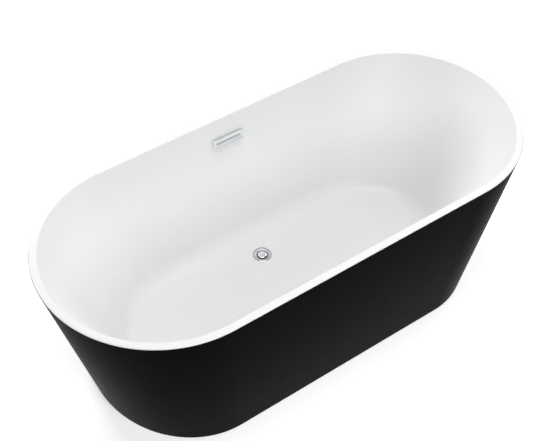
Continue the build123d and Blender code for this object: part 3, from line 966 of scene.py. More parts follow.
    def seam(self) -> bpy.types.Object:
        """Build the adhesive seam between the basin's lip and the skirt.

        Returns:
            The object.
        """
        low, high = (corner.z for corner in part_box("rim_bond"))
        outer, inner = self.surface().inset(self.wall), self.surface().inset(self.wall + self.bond)
        loops = [outer.at(low), outer.at(high), inner.at(high), inner.at(low)]
        return skin("adhesive_seam", [section.loop() for section in loops])


def run_tree(piece: bpy.types.Object, tree: bpy.types.NodeTree, sizes: dict) -> None:
    """Put a node tree on a piece with its inputs set by the sockets' identifiers.

    Args:
        piece: the object.
        tree: the node tree.
        sizes: values by input name.
    """
    modifier = piece.modifiers.new(tree.name, "NODES")
    modifier.node_group = tree
    for item in tree.interface.items_tree:
        if item.in_out == "INPUT" and item.name in sizes:
            modifier[item.identifier] = sizes[item.name]


# ---------------------------------------------------------------- shared builders
def framed(origin: Vector, forward: Vector) -> Matrix:
    """Return a placing matrix at an origin whose Z looks forward and whose X stays level.

    Args:
        origin: where the origin goes.
        forward: where Z looks.

    Returns:
        The matrix.
    """
    level = Vector((0, 0, 1)).cross(forward)
    across = level.normalized() if level.length > 1e-6 else Vector((1, 0, 0))
    matrix = Matrix((across, forward.normalized().cross(across), forward.normalized())).transposed().to_4x4()
    matrix.translation = origin
    return matrix


def dressed_copy(node: str, body: str, finish: Finish, edge: float = 0.0) -> bpy.types.Object:
    """Stand a welded, softened copy in for a CAD node.

    Args:
        node: the CAD node.
        body: the body that the node belongs to.
        finish: the copy's finish.
        edge: how much its sharp edges are eased, in metres.

    Returns:
        The copy.
    """
    mesh = frame["nodes"][node].data.copy()
    made = bpy.data.objects.new(f"{node}_finished", mesh)
    bpy.context.scene.collection.objects.link(made)
    tidy(made, 1e-5)
    work = bmesh.new()
    work.from_mesh(made.data)
    bmesh.ops.dissolve_limit(work, angle_limit=math.radians(0.5), verts=work.verts, edges=work.edges)
    work.to_mesh(made.data)
    work.free()
    if edge:
        bevel = made.modifiers.new("eased edges", "BEVEL")
        bevel.width = edge
        bevel.segments = 2
        bevel.limit_method = "ANGLE"
        bevel.angle_limit = math.radians(50)
        plain(made)
    shade(made, Shading.MACHINED)
    return hand_over(made, body, finish, node)


def islands(node: str) -> list[tuple[Vector, Vector]]:
    """Return the lowest and highest corner of each separate solid of a CAD node.

    Args:
        node: the CAD node's name.

    Returns:
        Each solid's lowest and highest corner.
    """
    work = bmesh.new()
    work.from_mesh(frame["nodes"][node].data)
    bmesh.ops.remove_doubles(work, verts=work.verts, dist=1e-5)
    left, found = set(work.verts), []
    while left:
        front = [left.pop()]
        points = []
        while front:
            vertex = front.pop()
            points.append(tuple(vertex.co))
            near = [edge.other_vert(vertex) for edge in vertex.link_edges]
            fresh = [other for other in near if other in left]
            left.difference_update(fresh)
            front.extend(fresh)
        corners = np.array(points)
        found.append((Vector(corners.min(0)), Vector(corners.max(0))))
    work.free()
    return sorted(found, key=lambda pair: tuple(pair[0]))


def empty_tree(name: str, sizes: Sequence[str]) -> tuple[Graph, bpy.types.bpy_prop_collection]:
    """Start a geometry node tree that takes a mesh, some sizes and a material.

    Args:
        name: the tree's name.
        sizes: the names of its number inputs.

    Returns:
        The graph and the outputs of its input node.
    """
    tree = bpy.data.node_groups.new(name, "GeometryNodeTree")
    face = tree.interface
    face.new_socket("Geometry", in_out="OUTPUT", socket_type="NodeSocketGeometry")
    face.new_socket("Geometry", in_out="INPUT", socket_type="NodeSocketGeometry")
    for size in sizes:
        face.new_socket(size, in_out="INPUT", socket_type="NodeSocketFloat")
    face.new_socket("Object", in_out="INPUT", socket_type="NodeSocketObject")
    face.new_socket("Material", in_out="INPUT", socket_type="NodeSocketMaterial")
    graph = Graph(tree)
    return graph, graph.add("NodeGroupInput").outputs


def close_tree(graph: Graph, given: bpy.types.bpy_prop_collection, shape: object) -> bpy.types.NodeTree:
    """End a tree: make its instances real and give them the material.

    Args:
        graph: the graph to add to.
        given: the tree's inputs by name.
        shape: the geometry to finish.

    Returns:
        The node tree.
    """
    real = graph.add("GeometryNodeRealizeInstances", {"Geometry": shape})
    values = {"Geometry": real.outputs[0], "Material": given["Material"]}
    dressed = graph.add("GeometryNodeSetMaterial", values)
    graph.feed(graph.add("NodeGroupOutput").inputs[0], dressed.outputs[0])
    return graph.tree


def repeat(
    name: str, template: bpy.types.Object, places: Sequence[Vector], finish: Finish
) -> bpy.types.Object:
    """Set one copy of a template at each place with Geometry Nodes, and remove the template.

    Args:
        name: the new piece's name.
        template: a piece modelled about the origin.
        places: where the copies go.
        finish: the copies' finish.

    Returns:
        One plain mesh that holds all the copies.
    """
    made = mesh_object(name, places, [])
    graph, given = empty_tree(f"{name} repeat", [])
    source = graph.add("GeometryNodeObjectInfo", {"Object": given["Object"]})
    spots = graph.add("GeometryNodeMeshToPoints", {"Mesh": given["Geometry"]})
    values = {"Points": spots.outputs[0], "Instance": source.outputs["Geometry"]}
    copies = graph.add("GeometryNodeInstanceOnPoints", values)
    tree = close_tree(graph, given, copies.outputs[0])
    run_tree(made, tree, {"Object": template, "Material": finish.material()})
    plain(made)
    bpy.data.objects.remove(template)
    return made


def tube_along(
    name: str, path: Sequence[Vector], sizes: dict[str, float], finish: Finish
) -> bpy.types.Object:
    """Run a round tube along a path with Geometry Nodes, ribbed if it has a rib depth.

    Args:
        name: the piece's name.
        path: the middle line's points.
        sizes: Radius, Rib Depth, Rib Pitch and Step, in metres.
        finish: the tube's finish.

    Returns:
        One plain closed mesh.
    """
    made = mesh_object(name, path, [])
    made.data.edges.add(len(path) - 1)
    ends = [end for step in range(len(path) - 1) for end in (step, step + 1)]
    made.data.edges.foreach_set("vertices", ends)
    graph, given = empty_tree(f"{name} tube", ["Radius", "Rib Depth", "Rib Pitch", "Step"])
    line = graph.add("GeometryNodeMeshToCurve", {"Mesh": given["Geometry"]})
    values = {"Curve": line.outputs[0], "Length": given["Step"]}
    even = graph.add("GeometryNodeResampleCurve", values, mode="LENGTH")
    run = graph.add("GeometryNodeSplineParameter").outputs["Length"]
    turn = graph.maths("DIVIDE", graph.maths("MULTIPLY", run, 2 * math.pi), given["Rib Pitch"])
    wave = graph.maths("MULTIPLY", graph.maths("SUBTRACT", 1.0, graph.maths("COSINE", turn)), 0.5)
    radius = graph.maths("SUBTRACT", given["Radius"], graph.maths("MULTIPLY", wave, given["Rib Depth"]))
    round_section = graph.add("GeometryNodeCurvePrimitiveCircle", {"Resolution": 24, "Radius": 1.0})
    values = {"Curve": even.outputs[0], "Profile Curve": round_section.outputs[0], "Fill Caps": True}
    swept = graph.add("GeometryNodeCurveToMesh", values)
    if "Scale" in swept.inputs:
        graph.feed(swept.inputs["Scale"], radius)
    else:
        sized = graph.add("GeometryNodeSetCurveRadius", {"Curve": even.outputs[0], "Radius": radius})
        graph.feed(swept.inputs["Curve"], sized.outputs[0])
    tree = close_tree(graph, given, swept.outputs[0])
    run_tree(made, tree, {**sizes, "Material": finish.material()})
    plain(made)
    tidy(made)
    return made


def pierce(piece: bpy.types.Object, cutter: bpy.types.Object) -> None:
    """Cut a closed shape out of a piece.

    Args:
        piece: the object.
        cutter: the closed shape.
    """
    cut = piece.modifiers.new("window", "BOOLEAN")
    cut.object = cutter
    cut.operation = "DIFFERENCE"
    cut.solver = "EXACT"
    plain(piece)


def rounded_rectangle(width: float, height: float, corner: float, steps: int = 5) -> LOOP:
    """Return the points of a flat rectangle with rounded corners, about its middle.

    Args:
        width: the width in metres.
        height: the height in metres.
        corner: the corners' radius.
        steps: steps round each corner.

    Returns:
        The points, one in each row.
    """
    points = []
    for quarter, (right, up) in enumerate(((1, 1), (-1, 1), (-1, -1), (1, -1))):
        middle = (right * (width / 2 - corner), up * (height / 2 - corner))
        for step in range(steps + 1):
            angle = (quarter + step / steps) * math.pi / 2
            points.append((middle[0] + corner * math.cos(angle), middle[1] + corner * math.sin(angle), 0.0))
    return np.array(points)


def hexagon_radius(angle: LOOP, across_flats: float) -> LOOP:
    """Return a hexagon's radius at each angle.

    Args:
        angle: the angles in radians.
        across_flats: the width across the flats.

    Returns:
        The radii.
    """
    sixth = math.pi / 3
    return across_flats / 2 / np.cos((angle + sixth / 2) % sixth - sixth / 2)


def hex_piece(
    name: str, across_flats: float, low: float, high: float, bore: float, edge: float
) -> bpy.types.Object:
    """Build a hexagon with chamfered corners and a bore, upright about the origin.

    Args:
        name: the piece's name.
        across_flats: its width over two flats.
        low: its lowest height.
        high: its highest height.
        bore: the bore's radius.
        edge: the chamfer's height.

    Returns:
        The hexagon.
    """
    angle = np.arange(48) * math.pi / 24
    outer = hexagon_radius(angle, across_flats)
    inner = np.full(48, max(bore, 1e-6))
    eased = np.minimum(outer, across_flats / 2 * 1.03)
    rows = [(inner, low), (eased, low), (outer, low + edge)]
    rows += [(outer, high - edge), (eased, high), (inner, high)]
    loops = [np.column_stack((r * np.cos(angle), r * np.sin(angle), np.full(48, z))) for r, z in rows]
    return skin(name, loops)


# ---------------------------------------------------------------- overflow
@dataclass(frozen=True)
class Overflow:
    """The overflow: a bright box cover with its comb, and the parts behind the wall."""

    size: tuple[float, float] = (0.116, 0.0335)
    proud: float = 0.011
    wall: float = 0.002
    corner: float = 0.003
    edge: float = 0.0015
    slot: tuple[float, float] = (0.0042, 0.005)
    pitch: float = 0.0079
    slots: int = 12
    window: tuple[float, float] = (0.084, 0.016)
    hose_bend: float = 0.070
    hose_radius: float = 0.011
    rib_depth: float = 0.0016
    rib_pitch: float = 0.0048

    def place(self, wall: Taper) -> Matrix:
        """Return the matrix of the overflow's own frame: X along the tub, Y up the wall, Z into the basin.

        Args:
            wall: the basin's inner wall.

        Returns:
            The matrix.
        """
        lean = math.atan(wall.slope("half_width"))
        low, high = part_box("overflow_retainer")
        height = (low.z + high.z) / 2 - math.sin(lean) * 0.0015
        matrix = Matrix(
            ((1, 0, 0), (0, math.sin(lean), math.cos(lean)), (0, -math.cos(lean), math.sin(lean)))
        ).transposed()
        matrix = matrix.to_4x4()
        matrix.translation = ((low.x + high.x) / 2, wall.at(height).half_width, height)
        return matrix

    def cutter(self, place: Matrix) -> bpy.types.Object:
        """Build the slot-shaped cutter for the window in the wall.

        Args:
            place: the overflow's own frame.

        Returns:
            The object.
        """
        outline = rounded_rectangle(*self.window, self.window[1] / 2 - 1e-5, 8)
        made = skin("window_cutter", [outline - (0, 0, 0.03), outline + (0, 0, 0.03)], closed=False)
        made.data.transform(place)
        return made

    def cover(self, place: Matrix) -> list[bpy.types.Object]:
        """Build the cover and the comb in its window.

        Args:
            place: the overflow's own frame.

        Returns:
            The objects.
        """
        width, height = self.size
        outline = rounded_rectangle(width, height, self.corner)
        loops = [outline + (0, 0, 0.0001), outline + (0, 0, self.proud - self.edge)]
        for step in range(1, 5):
            turn = step / 4 * math.pi / 2
            shrink = self.edge * (1 - math.cos(turn))
            rise = self.proud - self.edge + self.edge * math.sin(turn)
            corner = self.corner - shrink
            loops.append(rounded_rectangle(width - 2 * shrink, height - 2 * shrink, corner) + (0, 0, rise))
        mouth = rounded_rectangle(self.pitch * (self.slots - 1) + self.slot[0], self.slot[1], 0.0006)
        inner = rounded_rectangle(width - 2 * self.wall, height - 2 * self.wall, 0.002)
        loops += [mouth + (0, 0, self.proud), mouth + (0, 0, self.proud - self.wall)]
        loops += [inner + (0, 0, self.proud - self.wall), inner + (0, 0, 0.0001)]
        shell = skin("overflow_plate", loops)
        shell.data.transform(place)
        bar = self.pitch - self.slot[0]
        tooth = rounded_rectangle(bar, self.slot[1] + 0.0006, 0.0003, 2)
        depth = self.wall - 0.0002
        template = skin("tooth", [tooth - (0, 0, depth), tooth - (0, 0, 0.0001)], closed=False)
        first = -(self.slots - 2) / 2
        spots = [Vector(((first + n) * self.pitch, 0, self.proud)) for n in range(self.slots - 1)]
        comb = repeat("overflow_comb", template, spots, Finishes.CHROME)
        comb.data.transform(place)
        return [shell, comb]

    def hose_path(self) -> list[Vector]:
        """Return the hose's middle line: down behind the wall, round a bend and along to the drain.

        Returns:
            The points in order.
        """
        low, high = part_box("overflow_hose")
        level = low.z + self.hose_radius
        top = centre_of("overflow_body")
        start = Vector((top.x, high.y - self.hose_radius * 0.998, high.z - 0.0008))
        corner = Vector((top.x, start.y - (start.z - level) * 0.0684, level))
        end = Vector((top.x, low.y, level))
        down, along = (start - corner).normalized(), (end - corner).normalized()
        half = down.angle(along) / 2
        centre = corner + (down + along).normalized() * self.hose_bend / math.sin(half)
        reach = self.hose_bend / math.tan(half)
        first, last = corner + down * reach - centre, corner + along * reach - centre
        bend = [centre + first.slerp(last, step / 16) * (self.hose_bend / first.slerp(last, step / 16).length)
                for step in range(17)]
        return [start, *bend, end]

    def build(self, place: Matrix) -> None:
        """Build and dress every overflow piece.

        Args:
            place: the overflow's own frame.
        """
        for piece in self.cover(place):
            shade(piece, Shading.MACHINED)
            hand_over(piece, "tub", Finishes.CHROME, "overflow_cover")
        sizes = {
            "Radius": self.hose_radius,
            "Rib Depth": self.rib_depth,
            "Rib Pitch": self.rib_pitch,
            "Step": self.rib_pitch / 6,
        }
        hose = tube_along("ribbed_hose", self.hose_path(), sizes, Finishes.HOSE)
        shade(hose, Shading.FLOWING)
        hand_over(hose, "tub", Finishes.HOSE, "overflow_hose")
        for node, finish, edge in (
            ("overflow_retainer", Finishes.ZINC, 0.0),
            ("overflow_gasket", Finishes.RUBBER, 0.0),
            ("overflow_body", Finishes.PIPE, 0.0),
            ("overflow_screws", Finishes.ZINC, 0.0),
            ("hose_clamps", Finishes.SPRING, 0.0),
        ):
            dressed_copy(node, "tub", finish, edge)


# ---------------------------------------------------------------- drain
@dataclass(frozen=True)
class Drain:
    """The drain: a flange in the floor, the push stopper on it and the waste body and tail below."""

    flange_radius: float = 0.0315
    well_radius: float = 0.0195
    seat_radius: float = 0.0155
    barrel_radius: float = 0.025
    barrel_bore: float = 0.021
    hub: tuple[float, float] = (0.005, 0.008)
    cap_radius: float = 0.0155
    shoe_radius: float = 0.029
    tail_radius: float = 0.01905
    tail_wall: float = 0.0015
    nut_radius: float = 0.033
    nut_lobes: int = 16
    hose_bore: float = 0.009
    spring: tuple[float, float, float] = (0.0056, 0.0005, 0.0022)

    @property
    def centre(self) -> tuple[float, float]:
        """Where the drain's axis stands.

        Returns:
            The two values in metres.
        """
        middle = centre_of("drain_flange")
        return middle.x, middle.y

    def turn(
        self, name: str, outline: Profile, finish: Finish, node: str, body: str = "tub"
    ) -> bpy.types.Object:
        """Turn and dress one round piece.

        Args:
            name: the piece's name.
            outline: (radius, height) points.
            finish: its finish.
            node: the CAD node's name.
            body: the body that it rides on.

        Returns:
            The object.
        """
        piece = lathe(name, outline, self.centre)
        shade(piece, Shading.MACHINED)
        return hand_over(piece, body, finish, node)

    def flange(self) -> None:
        """Build the strainer body and its four arms."""
        low, high = (corner.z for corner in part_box("drain_flange"))
        floor = high - 0.0008
        outline = [
            (self.barrel_bore, low),
            (self.barrel_radius, low),
            (self.barrel_radius, floor - 0.0025),
            (self.flange_radius, floor - 0.0025),
            (self.flange_radius, floor - 0.0006),
            (self.flange_radius - 0.0004, floor + 0.0001),
            (self.flange_radius - 0.0015, floor + 0.0006),
            (self.flange_radius - 0.004, floor + 0.0008),
            (self.flange_radius - 0.0065, floor + 0.0003),
            (self.well_radius + 0.002, floor - 0.0006),
            (self.well_radius + 0.0005, floor - 0.0009),
            (self.well_radius, floor - 0.0016),
            (self.well_radius, floor - 0.008),
            (self.seat_radius, floor - 0.008),
            (self.seat_radius, floor - 0.0105),
            (self.barrel_bore, floor - 0.014),
        ]
        self.turn("drain_ring", outline, Finishes.DRAIN, "drain_flange")
        bottom, top = low + 0.008, low + 0.018
        hub = [(self.hub[0], bottom), (self.hub[1], bottom), (self.hub[1], top), (self.hub[0], top)]
        self.turn("drain_hub", hub, Finishes.DRAIN, "drain_flange")
        arm = rounded_rectangle(self.barrel_bore - self.hub[1] + 0.001, 0.003, 0.0006, 3)
        middle = (self.barrel_bore + self.hub[1]) / 2
        loops = [arm + (middle, 0, bottom), arm + (middle, 0, top)]
        template = skin("arm", loops, closed=False)
        arms = self.round_the_axis("drain_arms", template, 4, Finishes.DRAIN)
        hand_over(arms, "tub", Finishes.DRAIN, "drain_flange")

    def round_the_axis(
        self, name: str, template: bpy.types.Object, count: int, finish: Finish
    ) -> bpy.types.Object:
        """Set copies of a template evenly round the drain's axis with Geometry Nodes.

        Args:
            name: the piece's name.
            template: the shape to copy, which is removed.
            count: how many copies.
            finish: its finish.

        Returns:
            The object.
        """
        made = mesh_object(name, [(*self.centre, 0.0)] * count, [])
        graph, given = empty_tree(f"{name} ring", ["Turn"])
        source = graph.add("GeometryNodeObjectInfo", {"Object": given["Object"]})
        number = graph.add("GeometryNodeInputIndex").outputs[0]
        angle = graph.maths("MULTIPLY", number, given["Turn"])
        spin = graph.add("ShaderNodeCombineXYZ", {"Z": angle}).outputs[0]
        spots = graph.add("GeometryNodeMeshToPoints", {"Mesh": given["Geometry"]})
        values = {"Points": spots.outputs[0], "Instance": source.outputs["Geometry"], "Rotation": spin}
        copies = graph.add("GeometryNodeInstanceOnPoints", values)
        tree = close_tree(graph, given, copies.outputs[0])
        run_tree(made, tree, {"Turn": 2 * math.pi / count, "Object": template, "Material": finish.material()})
        plain(made)
        bpy.data.objects.remove(template)
        return made

    def stopper(self) -> None:
        """Build the push stopper: cap, seal and stem, which lift together."""
        low, high = (corner.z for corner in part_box("stopper_cap"))
        radius = self.cap_radius
        outline = [
            (0, low),
            (radius - 0.002, low),
            (radius - 0.002, low + 0.002),
            (radius, low + 0.003),
            (radius, high - 0.0014),
            (radius - 0.0003, high - 0.0008),
            (radius - 0.001, high - 0.0003),
            (radius - 0.003, high - 0.00008),
            (radius - 0.005, high),
            (0, high),
        ]
        self.turn("stopper_dome", outline, Finishes.CAP, "stopper_cap", "stopper")
        low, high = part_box("stopper_seal")
        outer, inner = (high.x - low.x) / 2, self.spring[0] + 0.002
        lips = [(outer - 0.0004, low.z), (outer, low.z + 0.0008), (outer - 0.0006, high.z)]
        outline = [(inner, low.z), *lips, (inner, high.z)]
        self.turn("stopper_washer", outline, Finishes.RUBBER, "stopper_seal", "stopper")
        low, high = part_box("stopper_stem")
        radius = (high.x - low.x) / 2
        rod = [(0, low.z), (radius - 0.0008, low.z), (radius, low.z + 0.0008), (radius, high.z), (0, high.z)]
        self.turn("stopper_rod", rod, Finishes.BRASS, "stopper_stem", "stopper")

    def seat_parts(self) -> None:
        """Build the cartridge, spring and gaskets."""
        low, high = (corner.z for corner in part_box("stopper_cartridge"))
        bore = self.hub[0] - 0.00145
        inner, outer = self.hub
        outline = [(0, low), (inner - 0.0004, low), (inner, low + 0.0004), (inner, high - 0.003)]
        outline += [(outer - 0.0003, high - 0.003), (outer, high - 0.0027), (outer, high - 0.0003)]
        outline += [(outer - 0.0003, high), (bore, high), (bore, low + 0.003), (0, low + 0.003)]
        self.turn("stopper_guide", outline, Finishes.BRASS, "stopper_cartridge")
        radius, wire, pitch = self.spring
        low, high = (corner.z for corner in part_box("stopper_spring"))
        rise = high - low - 2 * wire
        steps = round(rise / pitch * 24)
        path = []
        for step in range(steps + 1):
            angle = step / 24 * 2 * math.pi
            x, y = self.centre[0] + radius * math.cos(angle), self.centre[1] + radius * math.sin(angle)
            path.append(Vector((x, y, low + wire + rise * step / steps)))
        sizes = {"Radius": wire, "Rib Depth": 0.0, "Rib Pitch": 1.0, "Step": 0.0015}
        coil = tube_along("stopper_coil", path, sizes, Finishes.SPRING)
        shade(coil, Shading.FLOWING)
        hand_over(coil, "tub", Finishes.SPRING, "stopper_spring")
        for node, inner in (
            ("drain_top_gasket", self.barrel_radius),
            ("drain_bottom_gasket", self.barrel_radius),
            ("tail_washer", self.tail_radius + 0.00025),
        ):
            low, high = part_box(node)
            outer, soft = (high.x - low.x) / 2, 0.0003
            outline = [
                (inner, low.z),
                (outer - soft, low.z),
                (outer, low.z + soft),
                (outer, high.z - soft),
                (outer - soft, high.z),
                (inner, high.z),
            ]
            self.turn(f"{node}_ring", outline, Finishes.RUBBER, node)

    def waste(self) -> None:
        """Build the waste body, its side port, the tail and the tail's nut."""
        low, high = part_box("drain_shoe")
        outer = (high.x - low.x) / 2
        inside, socket = self.barrel_radius, self.tail_radius + 0.00025
        step = low.z + 0.034
        outline = [
            (socket, low.z),
            (self.shoe_radius, low.z),
            (self.shoe_radius, high.z - 0.0075),
            (self.shoe_radius + 0.0015, high.z - 0.006),
            (outer - 0.0006, high.z - 0.006),
            (outer, high.z - 0.0054),
            (outer, high.z),
            (inside, high.z),
            (inside, step),
            (socket, step),
        ]
        self.turn("waste_body", outline, Finishes.PIPE, "drain_shoe")
        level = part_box("overflow_hose")[0].z + 0.011
        reach = high.y - self.centre[1]
        boss, bore = 0.011, 0.007
        port = [
            (bore, self.shoe_radius - 0.004),
            (boss, self.shoe_radius - 0.004),
            (boss, self.shoe_radius + 0.007),
            (self.hose_bore + 0.0004, self.shoe_radius + 0.008),
            (self.hose_bore, self.shoe_radius + 0.009),
            (self.hose_bore, reach - 0.0006),
            (self.hose_bore - 0.0006, reach),
            (bore, reach),
        ]
        side = lathe("waste_side_port", port, (0, 0), 48)
        side.data.transform(framed(Vector((*self.centre, level)), Vector((0, 1, 0))))
        shade(side, Shading.MACHINED)
        hand_over(side, "tub", Finishes.PIPE, "drain_shoe")
        low, high = (corner.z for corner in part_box("tail_pipe"))
        pipe, wall = self.tail_radius, self.tail_wall
        outline = [(pipe - wall, low), (pipe, low), (pipe, high - 0.02), (pipe + 0.00024, high - 0.0195)]
        outline += [(pipe + 0.00024, high), (pipe - wall, high)]
        self.turn("waste_tail_pipe", outline, Finishes.CHROME, "tail_pipe")
        self.nut()

    def nut(self) -> None:
        """Build the tail's hand nut with its grips."""
        low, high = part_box("tail_nut")
        angle = np.arange(160) * 2 * math.pi / 160
        grip = self.nut_radius - 0.0015 + 0.0042 * np.clip(np.cos(angle * self.nut_lobes / 2), 0, 1) ** 2
        plain_round = np.full(160, 0.0)
        socket = self.tail_radius + 0.0008
        rows = [
            (plain_round + socket, low.z),
            (grip - 0.001, low.z),
            (grip, low.z + 0.001),
            (grip, high.z - 0.001),
            (grip - 0.001, high.z),
            (plain_round + self.shoe_radius, high.z),
            (plain_round + self.shoe_radius, low.z + 0.007),
            (plain_round + socket, low.z + 0.007),
        ]
        x, y = self.centre
        cosine, sine = np.cos(angle), np.sin(angle)
        loops = [np.column_stack((x + r * cosine, y + r * sine, np.full(160, z))) for r, z in rows]
        piece = skin("waste_hand_nut", loops)
        shade(piece, Shading.MACHINED)
        hand_over(piece, "tub", Finishes.PIPE, "tail_nut")

    def build(self) -> None:
        """Build and dress every drain piece."""
        self.flange()
        self.stopper()
        self.seat_parts()
        self.waste()


# ---------------------------------------------------------------- levelling feet
@dataclass(frozen=True)
class Feet:
    """The levelling feet: nylon pads, threaded studs, and the nuts that hold them."""

    count: int = 5
    thread_pitch: float = 0.00175
    thread_depth: float = 0.0011
    stud_flats: float = 0.014
    hex_rise: tuple[float, float] = (0.0125, 0.020)
    pin_radius: float = 0.005
    pin_low: float = 0.004
    weld_nut: tuple[float, float] = (0.018, 0.0060)
    lock_nut: tuple[float, float] = (0.019, 0.0060)
    edge: float = 0.0008

    def thread(self, name: str, radius: float, length: float) -> bpy.types.Object:
        """Cut a thread round a rod with Geometry Nodes; it stands on the origin.

        Args:
            name: the piece's name.
            radius: the thread's outer radius.
            length: the length in metres.

        Returns:
            The object.
        """
        made = mesh_object(name, [], [])
        graph, given = empty_tree(f"{name} thread", ["Radius", "Length", "Pitch", "Depth"])
        rows = round(length / self.thread_pitch * 4)
        values = {"Vertices": 24, "Side Segments": rows, "Radius": given["Radius"], "Depth": given["Length"]}
        rod = graph.add("GeometryNodeMeshCylinder", values)
        split = graph.add(
            "ShaderNodeSeparateXYZ", {0: graph.add("GeometryNodeInputPosition").outputs[0]}
        ).outputs
        around = graph.maths("DIVIDE", graph.maths("ARCTAN2", split["Y"], split["X"]), 2 * math.pi)
        climb = graph.maths("SUBTRACT", graph.maths("DIVIDE", split["Z"], given["Pitch"]), around)
        ridge = graph.maths("PINGPONG", graph.maths("MULTIPLY", climb, 2.0), 1.0)
        share = graph.maths("DIVIDE", given["Depth"], given["Radius"])
        scale = graph.maths("SUBTRACT", 1.0, graph.maths("MULTIPLY", ridge, share))
        x, y = graph.maths("MULTIPLY", split["X"], scale), graph.maths("MULTIPLY", split["Y"], scale)
        z = graph.maths("ADD", split["Z"], graph.maths("MULTIPLY", given["Length"], 0.5))
        place = graph.add("ShaderNodeCombineXYZ", {"X": x, "Y": y, "Z": z}).outputs[0]
        moved = graph.add("GeometryNodeSetPosition", {"Geometry": rod.outputs["Mesh"], "Position": place})
        tree = close_tree(graph, given, moved.outputs[0])
        sizes = {"Radius": radius, "Length": length, "Pitch": self.thread_pitch, "Depth": self.thread_depth}
        run_tree(made, tree, {**sizes, "Material": Finishes.ZINC.material()})
        plain(made)
        tidy(made)
        return made

    def pad(self, number: int) -> None:
        """Build one pad, which only rises and falls.

        Args:
            number: the foot's number.
        """
        node = f"foot_pad_{number}"
        low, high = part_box(node)
        centre, radius = centre_of(node), (high.x - low.x) / 2
        bore = self.pin_radius + 0.00005
        outline = [
            (0, low.z),
            (radius - 0.0012, low.z),
            (radius, low.z + 0.0012),
            (radius, low.z + 0.0032),
            (radius - 0.0006, low.z + 0.0041),
            (0.0125, high.z - 0.0011),
            (0.0112, high.z - 0.0003),
            (0.0106, high.z),
            (bore, high.z),
            (bore, self.pin_low),
            (0, self.pin_low),
        ]
        piece = lathe(f"levelling_pad_{number}", outline, (centre.x, centre.y), 64)
        shade(piece, Shading.MACHINED)
        hand_over(piece, f"foot_{number}_pad", Finishes.NYLON, node)

    def stud(self, number: int) -> None:
        """Build one stud: pin, hexagon and thread, which turn together.

        Args:
            number: the foot's number.
        """
        node = f"foot_stud_{number}"
        low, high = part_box(node)
        centre = centre_of(node)
        place = Matrix.Translation((centre.x, centre.y, 0))
        base, top = self.hex_rise
        pin = [(0, self.pin_low), (self.pin_radius - 0.0005, self.pin_low)]
        pin += [(self.pin_radius, self.pin_low + 0.0005)]
        pin += [(self.pin_radius, base + 0.0002), (0, base + 0.0002)]
        parts = {
            "pin": lathe(f"stud_pin_{number}", pin, (0, 0), 32),
            "head": hex_piece(f"stud_head_{number}", self.stud_flats, base, top, 0, self.edge),
            "thread": self.thread(f"stud_thread_{number}", 0.006, high.z - top),
        }
        parts["thread"].data.transform(Matrix.Translation((0, 0, top)))
        for name, piece in parts.items():
            piece.data.transform(place)
            shade(piece, Shading.MACHINED if name != "thread" else Shading.FACETED)
            hand_over(piece, f"foot_{number}_stud", Finishes.ZINC, node)

    def nuts(self, node: str, size: tuple[float, float]) -> None:
        """Build one kind of nut under every foot.

        Args:
            node: the nuts' CAD node.
            size: the width across the flats.
        """
        spots = [Vector(((low.x + high.x) / 2, (low.y + high.y) / 2, low.z)) for low, high in islands(node)]
        low, high = islands(node)[0]
        template = hex_piece("nut", size[0], 0, high.z - low.z, size[1], self.edge)
        piece = repeat(f"{node}_finished", template, spots, Finishes.ZINC)
        shade(piece, Shading.MACHINED)
        hand_over(piece, "tub", Finishes.ZINC, node)

    def build(self) -> None:
        """Build and dress every foot."""
        for number in range(1, self.count + 1):
            self.pad(number)
            self.stud(number)
        self.nuts("weld_nuts", self.weld_nut)
        self.nuts("lock_nuts", self.lock_nut)


